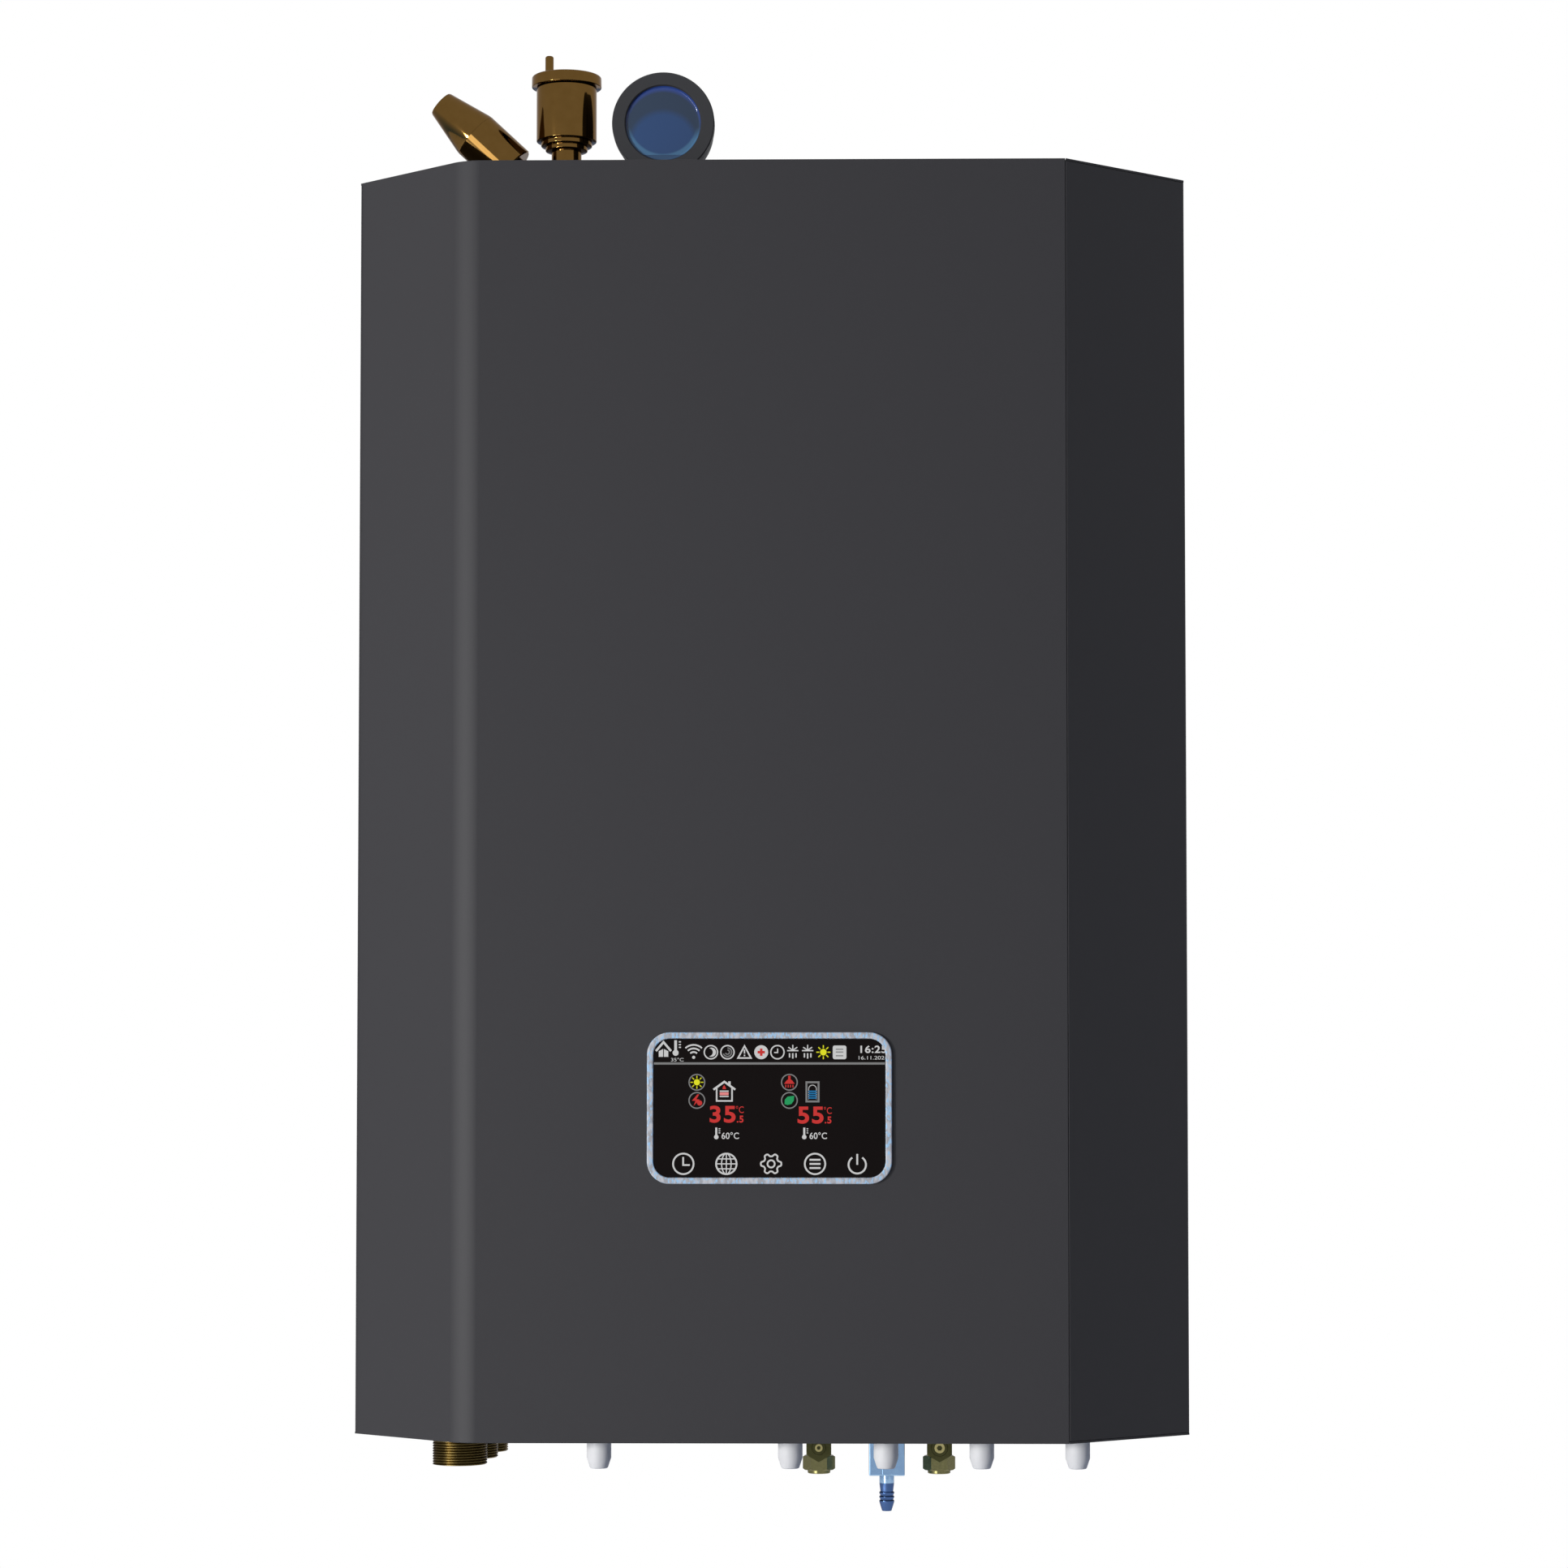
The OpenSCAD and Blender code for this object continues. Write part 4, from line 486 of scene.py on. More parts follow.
valve_brass, tree, here = new_finish("forged_valve_brass")
scale_skin = add(tree, "TexNoise", {"Vector": here, "Scale": 1 / (1.6 * MM), "Detail": 4.0})
olive = add(tree, "MixRGB", {"Fac": scale_skin, "Color1": "#6a6540", "Color2": "#79744e"})
dull = add(tree, "MapRange", {"Value": scale_skin, "To Min": 0.12, "To Max": 0.2})
skin = add(tree, "Bump", {"Height": scale_skin, "Distance": 0.05 * MM, "Strength": 0.4})
end_finish(tree, {"Base Color": olive, "Metallic": 1.0, "Roughness": dull,
                  "Specular Tint": DULL_EDGE, "Normal": skin})

# The forged bodies keep the dark skin of the die; the nuts and spindles are turned afterwards
dark_brass, tree, here = new_finish("die_forged_brass")
soot = add(tree, "TexNoise", {"Vector": here, "Scale": 1 / (2 * MM), "Detail": 4.0})
dark = add(tree, "MixRGB", {"Fac": soot, "Color1": "#34341e", "Color2": "#403f27"})
end_finish(tree, {"Base Color": dark, "Metallic": 1.0, "Roughness": 0.38, "Specular Tint": DULL_EDGE})

for side, x in VALVE_XS.items():
    bm = bmesh.new()
    turned(bm, [(0, -21.6), (5.2, -21.6), (5.5, -21.3), (5.5, -15.3), (7, -15.3), (7, 6), (7.6, 6.6),
                (7.6, 25.4), (7, 26), (6.75, 26), (6.75, 32), (3.75, 32), (3.75, 20), (0, 20)])
    bore = SPINDLE_R[side] + SPINDLE_PLAY
    to_front = Matrix.Translation((0, 0, SPINDLE_Z)) @ FACING_FRONT
    turned(bm, [(0, 4), (bore, 4), (bore, 17), (bore + 1.6, 17), (bore + 1.9, BONNET_FRONT),
                (bore + 1.9, 12), (5.5, 12), (5.5, 2), (0, 2)], to_front)
    close_up(bm)
    upright = to_front @ Matrix.Rotation(pi / 6, 4, "Z")
    hexagon(bm, BONNET_FLATS, BONNET_BACK, BONNET_FRONT, 1.1, upright)
    bmesh.ops.translate(bm, vec=(x, VALVE_Y, 0), verts=bm.verts)
    as_piece(bm, side + "_valve_body", dark_brass, "unit", "valve_brass", side + "_valve")

bm = bmesh.new()
for x in VALVE_XS.values():
    place = Matrix.Translation((x, VALVE_Y, 0))
    hexagon(bm, NUT_FLATS, NUT_LOW, NUT_TOP, 1.3, place)
    turned(bm, [(0, NUT_LOW + 1), (6.9, NUT_LOW + 1), (6.9, NUT_LOW - 1.7), (6.5, NUT_END), (3.25, NUT_END),
                (3.25, NUT_LOW + 0.5), (0, NUT_LOW + 0.5)], place)
close_up(bm)
as_piece(bm, "chamfered_flare_nuts", valve_brass, "unit", "valve_brass", "flare_nuts")

spindle_brass, tree, here = new_finish("turned_spindle_brass")
fine = add(tree, "TexNoise", {"Vector": here, "Scale": 1 / (0.5 * MM), "Detail": 2.0})
light = add(tree, "MixRGB", {"Fac": fine, "Color1": "#968c5c", "Color2": "#a59b6b"})
end_finish(tree, {"Base Color": light, "Metallic": 1.0, "Roughness": 0.3})
paint(spindle_brass, "gas_spindle", "liquid_spindle")


# Drain: a square steel block with a square key in front, and below it a hose barb, all bright-plated. Their
# blue is a painted reflection of a blue sky, painted deeper on the barb than on its collar and the block.
DRAIN_X = 69.3
DRAIN_HALF = 10.8
DRAIN_TOP = 8
DRAIN_LOW = -27
COLLAR_R = 4.45
COLLAR_LOW = -32.5
BARB_BORE_R = 2
BARB_PITCH = 2.5
BARB_LOW = -49
KEY_Z = -23.5
KEY_HALF = 2.9
KEY_REACH = 2.6
KEY_GAP = 0.3
SHAFT_R = 2.8
SHAFT_END = 13.7


def brick(bm, low, high):
    """A box between two corners."""
    low, high = Vector(low), Vector(high)
    size = Matrix.Diagonal((*(high - low), 1))
    bmesh.ops.create_cube(bm, size=1, matrix=Matrix.Translation((low + high) / 2) @ size)


metal_with_painted_sky, tree, here = new_finish("plated_steel_with_painted_sky")
haze = add(tree, "TexNoise", {"Vector": here, "Scale": 1 / (4 * MM), "Detail": 4.0})
# Pale blue: a painted reflection of a blue sky on the plating
pale = add(tree, "MixRGB", {"Fac": haze, "Color1": "#8dabc6", "Color2": "#97b5ce"})
place = add(tree, "SeparateXYZ", {"Vector": here})
# Below its collar the barb is painted a deeper blue reflection
barb_darker_reflection = add(tree, "MapRange", {"Value": place.outputs["Z"], "From Min": (COLLAR_LOW + 0.7 - CASE_LOW) * MM,
                              "From Max": (COLLAR_LOW + 0.1 - CASE_LOW) * MM})
painted_sky_tone = add(tree, "MixRGB", {"Fac": barb_darker_reflection, "Color1": pale, "Color2": "#415880"})
gloss = add(tree, "MapRange", {"Value": haze, "To Min": 0.08, "To Max": 0.12})
end_finish(tree, {"Base Color": painted_sky_tone, "Metallic": 1.0, "Roughness": gloss, "Specular Tint": DULL_EDGE})

bm = bmesh.new()
brick(bm, (DRAIN_X - DRAIN_HALF, VALVE_Y - DRAIN_HALF, DRAIN_LOW),
      (DRAIN_X + DRAIN_HALF, VALVE_Y + DRAIN_HALF, DRAIN_TOP))
ease(bm, 0.7, 3)
crisp(as_piece(bm, "plated_drain_block", metal_with_painted_sky, "unit", "drain_metal", "drain_block"))

bm = bmesh.new()
ridge = ((3.9, -37.2), (4.6, -37.7), (4.6, -38.2))
ridges = [(r, z - BARB_PITCH * i) for i in range(3) for r, z in ridge]
turned(bm, [(BARB_BORE_R, DRAIN_LOW), (COLLAR_R, DRAIN_LOW), (COLLAR_R, COLLAR_LOW), *ridges,
            (4.25, -44.6), (2.85, BARB_LOW), (BARB_BORE_R, BARB_LOW)],
       Matrix.Translation((DRAIN_X, VALVE_Y, 0)), closed=True)
close_up(bm)
ease(bm, 0.15)
crisp(as_piece(bm, "turned_hose_barb", metal_with_painted_sky, "unit", "drain_metal", "hose_barb"))

bm = bmesh.new()
front = VALVE_Y - DRAIN_HALF
brick(bm, (DRAIN_X - KEY_HALF, front - KEY_REACH, KEY_Z - KEY_HALF),
      (DRAIN_X + KEY_HALF, front - KEY_GAP, KEY_Z + KEY_HALF))
ease(bm, 0.35, 3)
turned(bm, [(0, -2), (SHAFT_R, -2), (SHAFT_R, SHAFT_END - 0.3), (SHAFT_R - 0.3, SHAFT_END), (0, SHAFT_END)],
       Matrix.Translation((DRAIN_X, front + 11.7, KEY_Z)) @ FACING_FRONT)
close_up(bm)
crisp(as_piece(bm, "plated_drain_key", metal_with_painted_sky, "drain_tap", "drain_metal", "drain_key"))


# Relief valve: a turned brass cylinder that leans out to the left, with the spring inside, and
# a tapered knob on its stem. Turning the knob lifts the disc from its seat.
TOP_Y = -157.5
VENT_X = -128.7
RELIEF_START = (VENT_X, TOP_Y, 746)
RELIEF_SLOPE = 43
RELIEF_R = 15.2
RELIEF_BORE_R = 11.2
STEM_BORE_R = 2.58

relief_axis = Matrix.Translation(RELIEF_START) @ Matrix.Rotation(radians(RELIEF_SLOPE - 90), 4, "Y")
bm = bmesh.new()
turned(bm, [(5, 31), (8.4, 31), (9, 31.6), (9, 45.7), (14.4, 45.7), (RELIEF_R, 46.5), (RELIEF_R, 77.1),
            (STEM_BORE_R, 77.1), (STEM_BORE_R, 73), (RELIEF_BORE_R, 73), (RELIEF_BORE_R, 49.7), (5, 49.7)],
       relief_axis, closed=True)
close_up(bm)
as_piece(bm, "turned_relief_body", brass, "unit", "fitting_brass", "relief_body")

bm = bmesh.new()
turned(bm, [(0, 90.4), (STEM_BORE_R, 90.4), (STEM_BORE_R, 77.2), (RELIEF_R, 77.2), (15.0, 79.2),
            (8.75, 106.2), (8.2, 107.1), (7.3, 107.3), (0, 107.3)], relief_axis)
close_up(bm)
as_piece(bm, "turned_relief_knob", brass, "relief_cap", "fitting_brass", "relief_knob")


# Air vent: a turned body that steps out from its neck, a screwed cap above and the bleed screw
# in it. A float inside opens the valve when air gathers.
CAP_Z = 828.5
BLEED_X = -139.5
STEP_OUT = 2.8
STEP_UP = 3
WIDE_STEPS = 96


def fillet(r, z, radius, start):
    """A quarter turn of small radius in a profile; 0 points outwards and 90 up."""
    angles = [radians(start + 22.5 * i) for i in range(5)]
    return [(r + radius * cos(a), z + radius * sin(a)) for a in angles]


vent_axis = Matrix.Translation((VENT_X, TOP_Y, 0))
steps_up = []
for i in range(3):
    steps_up += fillet(12.5 + STEP_OUT * i, 789.1 + STEP_UP * i, 0.6, -90)
    steps_up.append((13.1 + STEP_OUT * i, 791.5 + STEP_UP * i))
bm = bmesh.new()
turned(bm, [(4, 770.3), (9.3, 770.3), (9.3, 788.5), *steps_up[:-1], (18.7, 827.8), (18.3, 828.2),
            (12.2, 828.2), (12.2, 791.5), (4, 791.5)], vent_axis, closed=True, steps=WIDE_STEPS)
close_up(bm)
as_piece(bm, "turned_vent_body", brass, "unit", "fitting_brass", "vent_body")

bm = bmesh.new()
turned(bm, [(0, CAP_Z), *fillet(21.2, CAP_Z + 0.5, 0.5, -90), *fillet(20.2, CAP_Z + 5.5, 1.5, 0),
            (0, CAP_Z + 7)], vent_axis, steps=WIDE_STEPS)
close_up(bm)
as_piece(bm, "turned_vent_cap", brass, "unit", "fitting_brass", "vent_cap")

bm = bmesh.new()
turned(bm, [(0, 830.5), (2.6, 830.5), *fillet(1.3, 847.4, 1.3, 0), (0, 848.7)],
       Matrix.Translation((BLEED_X, TOP_Y, 0)), steps=40)
close_up(bm)
as_piece(bm, "turned_bleed_screw", brass, "bleeder", "fitting_brass", "bleed_screw")


# Pressure gauge: a painted steel cup on a stem, a snapped ring, and a domed plastic lens over the dial. The
# lens's blue is a painted reflection of a blue sky, and the needle hardly shows through it.
GAUGE_X = -67.5
GAUGE_Z = 801
GAUGE_FRONT = -181.5
FACING_BACK = Matrix.Rotation(-pi / 2, 4, "X")
LENS_R = 23.2

gauge_paint, tree, here = new_finish("stoved_black_paint")
fine = add(tree, "TexNoise", {"Vector": here, "Scale": 1 / (0.6 * MM), "Detail": 2.0})
dark = add(tree, "MixRGB", {"Fac": fine, "Color1": "#242426", "Color2": "#29292b"})
skin = add(tree, "Bump", {"Height": fine, "Distance": 0.03 * MM, "Strength": 0.4})
end_finish(tree, {"Base Color": dark, "Roughness": 0.58, "Specular IOR Level": 0.25, "Normal": skin})

gauge_axis = Matrix.Translation((GAUGE_X, GAUGE_FRONT, GAUGE_Z)) @ FACING_BACK
bm = bmesh.new()
turned(bm, [(0, 9), (29.2, 9), (29.2, 4.8), (30.4, 4.8), (30.4, 25.5), (29.6, 27.3), (27.6, 28), (0, 28)],
       gauge_axis, steps=WIDE_STEPS)
turned(bm, [(0, 760.3), (5, 760.3), (5, 774), (0, 774)], Matrix.Translation((GAUGE_X, TOP_Y, 0)))
close_up(bm)
as_piece(bm, "gauge_cup", gauge_paint, "unit", "gauge_plastic", "gauge_case")

bm = bmesh.new()
turned(bm, [(LENS_R, 0.7), (23.9, 0), (30.9, 0), (31.6, 0.7), (31.6, 9.6), (31.2, 10), (30.45, 10),
            (30.45, 2.2), (LENS_R, 2.2)], gauge_axis, closed=True, steps=WIDE_STEPS)
close_up(bm)
as_piece(bm, "gauge_bezel", gauge_paint, "unit", "gauge_plastic", "gauge_ring")

# The dome's colour is a painted reflection of the room, with painted light and shade: lighter crescents low
# near the rim, a darker broad arc above, a bluer ring at the rim and a darker strip at the bottom. Each
# zone has the height of its middle and where it begins and ends, in radii of the lens.
lens_reflection_paint, tree, here = new_finish("lens_with_painted_reflection")
place = add(tree, "SeparateXYZ", {"Vector": here})
across = add(tree, "Math", {0: place.outputs["X"], 1: GAUGE_X * MM}, operation="SUBTRACT")
rise = add(tree, "Math", {0: place.outputs["Z"], 1: (GAUGE_Z - CASE_LOW) * MM}, operation="SUBTRACT")
reflection_zones = []
for lift, near, far in ((-0.58, 0.80, 0.98), (0.08, 0.88, 0.93), (-0.12, 0.95, 1.04)):
    lifted = add(tree, "Math", {0: rise, 1: lift * LENS_R * MM}, operation="SUBTRACT")
    spot = add(tree, "CombineXYZ", {"X": across, "Z": lifted})
    away = add(tree, "VectorMath", {0: spot}, operation="LENGTH").outputs["Value"]
    reflection_zones.append(add(tree, "MapRange", {"Value": away, "From Min": near * LENS_R * MM,
                                        "From Max": far * LENS_R * MM}))
# Painted shade: a darker, greyer arc over the upper part of the lens
blue = add(tree, "MixRGB", {"Fac": reflection_zones[0], "Color1": "#25446f", "Color2": "#27394f"})
painted_rim_ring = add(tree, "MixRGB", {"Fac": reflection_zones[2], "Color1": blue, "Color2": "#2c4382"})
# Painted light: lighter crescents in the lower half, near the rim
low_half = add(tree, "MapRange", {"Value": rise, "From Min": -0.1 * LENS_R * MM,
                                  "From Max": -0.45 * LENS_R * MM})
share = add(tree, "Math", {0: reflection_zones[1], 1: low_half}, operation="MULTIPLY")
painted_light_crescents = add(tree, "MixRGB", {"Fac": share, "Color1": painted_rim_ring, "Color2": "#406a8b"})
# Painted shade: a darker strip along the lens's bottom edge
painted_low_strip = add(tree, "Math", {0: rise, 1: -0.84 * LENS_R * MM}, operation="LESS_THAN")
painted_lens_reflection = add(tree, "MixRGB", {"Fac": painted_low_strip, "Color1": painted_light_crescents, "Color2": "#2c4a69"})
end_finish(tree, {"Base Color": painted_lens_reflection, "Roughness": 0.06, "Specular IOR Level": 0.3, "Alpha": 0.94})

dome = [(0, 1.0), (8, 1.1), (14, 1.35), (19, 1.8), (21.4, 2.1), (22.2, 2.05), (22.7, 1.75), (23.1, 1.2)]
bm = bmesh.new()
turned(bm, [(0, 4.5), (30.1, 4.5), (30.1, 4.2), *reversed(dome)], gauge_axis, steps=WIDE_STEPS)
close_up(bm)
as_piece(bm, "gauge_lens", lens_reflection_paint, "unit", "gauge_lens", "gauge_glass")

needle_paint, tree, here = new_finish("black_needle_paint")
fine = add(tree, "TexNoise", {"Vector": here, "Scale": 1 / (0.4 * MM)})
dark = add(tree, "MixRGB", {"Fac": fine, "Color1": "#141416", "Color2": "#1c1c1f"})
end_finish(tree, {"Base Color": dark, "Roughness": 0.4})
paint(needle_paint, "gauge_needle")


# Side panels: bent sheet, each with a return flange at the cover's edge and held to the back
# plate by screws. The right one also carries the right angled face.
SHEET = 1.2
SEAM = 0.3
CASE_HEIGHT = 757
LEFT = -250
RIGHT = 250
FRONT = -275
REAR_EDGE = -2
CORNER_Y = -213
FOLD_LEFT_X = -181
FOLD_RIGHT_X = 175
FLANGE = 14
FOLD_GAP = 0.1
CUT_EDGE = 0.25
SIDE_LOW = 1.5
SIDE_HIGH = CASE_HEIGHT - 1.5


def pull(bm, made, way):
    """Moves what an extrusion made."""
    bmesh.ops.translate(bm, vec=way, verts=[v for v in made["geom"] if isinstance(v, bmesh.types.BMVert)])


def bent_sheet(plan, low, high, folds):
    """Sheet along a plan of corner points, from low to high, with a radius at each inner corner."""
    bm = bmesh.new()
    points = [bm.verts.new((x, y, low)) for x, y in plan]
    edges = [bm.edges.new(pair) for pair in zip(points, points[1:])]
    pull(bm, bmesh.ops.extrude_edge_only(bm, edges=edges), (0, 0, high - low))
    for (x, y), r in folds.items():
        fold = [e for e in bm.edges if all(abs(v.co.x - x) + abs(v.co.y - y) < NEAR for v in e.verts)]
        turn = fold[0].calc_face_angle()
        round_off(bm, fold, r * tan(turn / 2), max(3, int(r)))
    bmesh.ops.recalc_face_normals(bm, faces=bm.faces)
    return bm


def thicken(piece):
    """Gives a sheet its thickness behind its face, and a rounded edge where it was cut."""
    solid = piece.modifiers.new("thickness", "SOLIDIFY")
    solid.thickness = SHEET * MM
    solid.offset = -1
    solid.use_even_offset = True
    edge = piece.modifiers.new("cut_edge", "BEVEL")
    edge.width = CUT_EDGE * MM
    edge.segments = 2
    edge.limit_method = "ANGLE"
    edge.angle_limit = radians(50)
    crisp(piece)


corner_left = (LEFT, CORNER_Y + SEAM)
bm = bent_sheet([(LEFT + FLANGE, CORNER_Y + SEAM), corner_left, (LEFT, REAR_EDGE)], SIDE_LOW, SIDE_HIGH,
                {corner_left: 1.5})
thicken(as_piece(bm, "left_side_sheet", powder_coat, "unit", "casing_paint", "left_panel"))

fold_right = (FOLD_RIGHT_X + FOLD_GAP, FRONT)
corner_right = (RIGHT, CORNER_Y)
bm = bent_sheet([(RIGHT, REAR_EDGE), corner_right, fold_right, (fold_right[0], FRONT + FLANGE)],
                SIDE_LOW, SIDE_HIGH, {corner_right: 2.5, fold_right: 0.5})
thicken(as_piece(bm, "right_side_sheet", powder_coat, "unit", "casing_paint", "right_panel"))


# Front cover: one sheet bent to the front and the left angled face, the bend between them with a
# wide radius, its rims folded in. Four studs behind it push into nylon clips.
BEND_R = 24
SCREEN_Z = 195.6
SCREEN_W = 143.6
SCREEN_H = 88.8
SCREEN_R = 13.4
CORNER_STEPS = 12
RIM = 3.8
STUD_XS = (-141.5, 96.8)
STUD_ZS = (30, 727)
STUD_R = 3
STUD_LENGTH = 16.74


def rounded(bm, w, h, r, y):
    """A rectangle with rounded corners in the plane of the front, round the screen's centre."""
    before = set(bm.verts)
    made = bmesh.ops.create_grid(bm, x_segments=1, y_segments=1, size=0.5,
                                 matrix=Matrix.Translation((0, y, SCREEN_Z)) @ FACING_FRONT
                                 @ Matrix.Diagonal((w, h, 1, 1)))
    bmesh.ops.bevel(bm, geom=made["verts"], offset=r, segments=CORNER_STEPS, profile=0.5,
                    affect="VERTICES", offset_type="OFFSET", material=-1)
    return once(f for v in added(bm, before) for f in v.link_faces)


bm = bmesh.new()
bend = atan2(CORNER_Y - FRONT, FOLD_LEFT_X - LEFT)
plan = [(FOLD_RIGHT_X, FRONT), (FOLD_LEFT_X, FRONT), (LEFT, CORNER_Y), (LEFT + FLANGE, CORNER_Y),
        (LEFT + FLANGE / sin(bend), CORNER_Y), (FOLD_LEFT_X + FLANGE * tan(bend / 2), FRONT + FLANGE),
        (FOLD_RIGHT_X, FRONT + FLANGE)]
base = bm.faces.new([bm.verts.new((x, y, 0)) for x, y in plan])
pull(bm, bmesh.ops.extrude_face_region(bm, geom=[base]), (0, 0, CASE_HEIGHT))
bmesh.ops.recalc_face_normals(bm, faces=bm.faces)


def at_corner(v, i):
    """Whether a point lies over one of the plan's corners."""
    return abs(v.co.x - plan[i][0]) + abs(v.co.y - plan[i][1]) < NEAR


inside = [f for f in bm.faces if all(any(at_corner(v, i) for i in (3, 4, 5, 6)) for v in f.verts)]
bmesh.ops.delete(bm, geom=inside, context="FACES")
fold = [e for e in bm.edges if all(at_corner(v, 1) for v in e.verts)]
round_off(bm, fold, BEND_R * tan(bend / 2), 20)
round_off(bm, sharp_edges(bm, radians(35)), 0.5, 3)
front = max((f for f in bm.faces if f.normal.y < -0.99), key=lambda f: f.calc_area())
outline = list(front.edges)
bmesh.ops.delete(bm, geom=[front], context="FACES_ONLY")
opening = rounded(bm, SCREEN_W - 2 * RIM, SCREEN_H - 2 * RIM, SCREEN_R - RIM, FRONT)
inner = once(e for f in opening for e in f.edges if e.is_boundary)
bmesh.ops.delete(bm, geom=opening, context="FACES_ONLY")
bmesh.ops.triangle_fill(bm, use_beauty=True, use_dissolve=False, normal=(0, -1, 0), edges=outline + inner)
bmesh.ops.recalc_face_normals(bm, faces=bm.faces)
thicken(as_piece(bm, "cover_sheet", powder_coat, "cover", "casing_paint", "front_cover"))

stud = [(0, 0), (STUD_R, 0), (STUD_R, STUD_LENGTH - 0.744), (2.2, STUD_LENGTH), (0, STUD_LENGTH)]
bm = bmesh.new()
for x in STUD_XS:
    for z in STUD_ZS:
        turned(bm, stud, Matrix.Translation((x, FRONT + SHEET, z)) @ FACING_BACK, steps=24)
close_up(bm)
as_piece(bm, "cover_studs", zinc, "cover", "galvanised")


# Screen: a cast frame, satin-plated with a crystalline grain whose faint blue flecks are painted glints of
# a blue sky, round a glass that lies a little back from its rim; the display is bonded behind the glass.
GLASS_FRONT = FRONT - 1.6
RIM_OUT = 2.6
NECK_WALL = 1.6
NECK_DEPTH = 16

plated, tree, here = new_finish("crystal_plated_zinc_casting")
lean = add(tree, "Mapping", {"Vector": here, "Rotation": (0, radians(35), 0), "Scale": (1.0, 1.0, 0.45)})
flakes = add(tree, "TexNoise", {"Vector": lean, "Scale": 1 / (1.1 * MM), "Detail": 2.0})
blots = add(tree, "TexNoise", {"Vector": lean, "Scale": 1 / (2.3 * MM), "Detail": 1.0})
painted_glint_share = add(tree, "MapRange", {"Value": flakes, "From Min": 0.5, "From Max": 0.62})
dark_share = add(tree, "MapRange", {"Value": blots, "From Min": 0.4, "From Max": 0.6})
greys = add(tree, "MixRGB", {"Fac": dark_share, "Color1": "#9b9b9d", "Color2": "#bbbbbd"})
# Blue flecks: painted glints of a blue sky on the grain
grain_and_painted_glints = add(tree, "MixRGB", {"Fac": painted_glint_share, "Color1": greys, "Color2": "#9bc0dc"})
skin = add(tree, "Bump", {"Height": flakes, "Distance": 0.1 * MM, "Strength": 0.6})
end_finish(tree, {"Base Color": grain_and_painted_glints, "Roughness": 0.45, "Specular IOR Level": 0.3, "Normal": skin})


def ring_plate(bm, w, h, r, width, front, back):
    """A ring of even width round the screen's centre, from one depth to another."""
    before = set(bm.verts)
    plate = rounded(bm, w, h, r, back)
    bmesh.ops.inset_region(bm, faces=plate, thickness=width, use_even_offset=True, use_boundary=True)
    bmesh.ops.delete(bm, geom=[f for f in plate if f.is_valid], context="FACES")
    ring = once(f for v in added(bm, before) for f in v.link_faces)
    pull(bm, bmesh.ops.extrude_face_region(bm, geom=ring), (0, front - back, 0))
    bmesh.ops.recalc_face_normals(bm, faces=bm.faces)


bm = bmesh.new()
ring_plate(bm, SCREEN_W, SCREEN_H, SCREEN_R, RIM, FRONT - RIM_OUT, FRONT)
rims = [e for e in sharp_edges(bm, radians(60)) if all(v.co.y < FRONT - 2 for v in e.verts)]
round_off(bm, rims, 0.8, 4)
inset = RIM + SEAM
ring_plate(bm, SCREEN_W - 2 * inset, SCREEN_H - 2 * inset, SCREEN_R - inset, NECK_WALL, FRONT - 0.5,
           FRONT + NECK_DEPTH)
crisp(as_piece(bm, "screen_rim", plated, "cover", "screen_trim", "screen_frame"))

glass, tree, here = new_finish("black_display_glass")
smear = add(tree, "TexNoise", {"Vector": here, "Scale": 1 / (25 * MM), "Detail": 3.0})
ink = add(tree, "MixRGB", {"Fac": smear, "Color1": "#120e0d", "Color2": "#15100f"})
gloss = add(tree, "MapRange", {"Value": smear, "To Min": 0.12, "To Max": 0.2})
end_finish(tree, {"Base Color": ink, "Roughness": gloss, "Specular IOR Level": 0.03})
paint(glass, "screen_glass")


# Display: lit signs and figures, each colour one layer on the glass, a tenth of a millimetre
# thick. The signs are general ones, and the time and temperatures only an example.
LAYERS = {"white": ("#c6c6c6", 0.09), "grey": ("#7a7a7a", 0.12), "red": ("#c23836", 0.12),
          "pink": ("#e08585", 0.12), "yellow": ("#dcdc2a", 0.12), "green": ("#2a965c", 0.12),
          "blue": ("#2771a3", 0.12)}
FIGURES_END = 67.7
FILM_GAP = 0.01
layers = {name: bmesh.new() for name in LAYERS}
white, grey, red, pink, yellow, green, blue = layers.values()


def area(bm, points):
    """A filled outline of (x, z) points, measured from the screen's centre."""
    bm.faces.new([bm.verts.new((x, 0, z)) for x, z in points])


def box(bm, x, z, w, h):
    """A filled rectangle round its middle."""
    area(bm, [(x + a * w / 2, z + b * h / 2) for a, b in ((-1, -1), (1, -1), (1, 1), (-1, 1))])


def circle(x, z, r, start=0, sweep=360):
    """Points round a centre, from the right and anticlockwise."""
    count = max(8, round(abs(sweep) / 12))
    angles = [radians(start + sweep * i / count) for i in range(count + 1)]
    return [(x + r * cos(a), z + r * sin(a)) for a in angles]


def stroke(bm, points, width):
    """A line of even width through some points, closed when it ends where it began."""
    spots = [Vector(p) for p in points]
    closed = (spots[0] - spots[-1]).length < 1e-6
    count = len(spots) - closed
    pairs = []
    for i in range(count):
        into = spots[i] - spots[(i - 1) % count] if i or closed else spots[1] - spots[0]
        onward = spots[(i + 1) % count] - spots[i] if i < count - 1 or closed else into
        side = Vector((-into.y, into.x)).normalized()
        mitre = (side + Vector((-onward.y, onward.x)).normalized()).normalized()
        reach = mitre * width / 2 / max(0.4, mitre.dot(side))
        pairs.append([bm.verts.new((p.x, 0, p.y)) for p in (spots[i] + reach, spots[i] - reach)])
    for a, b in zip(pairs, pairs[1:] + pairs[:1] if closed else pairs[1:]):
        bm.faces.new((a[0], b[0], b[1], a[1]))


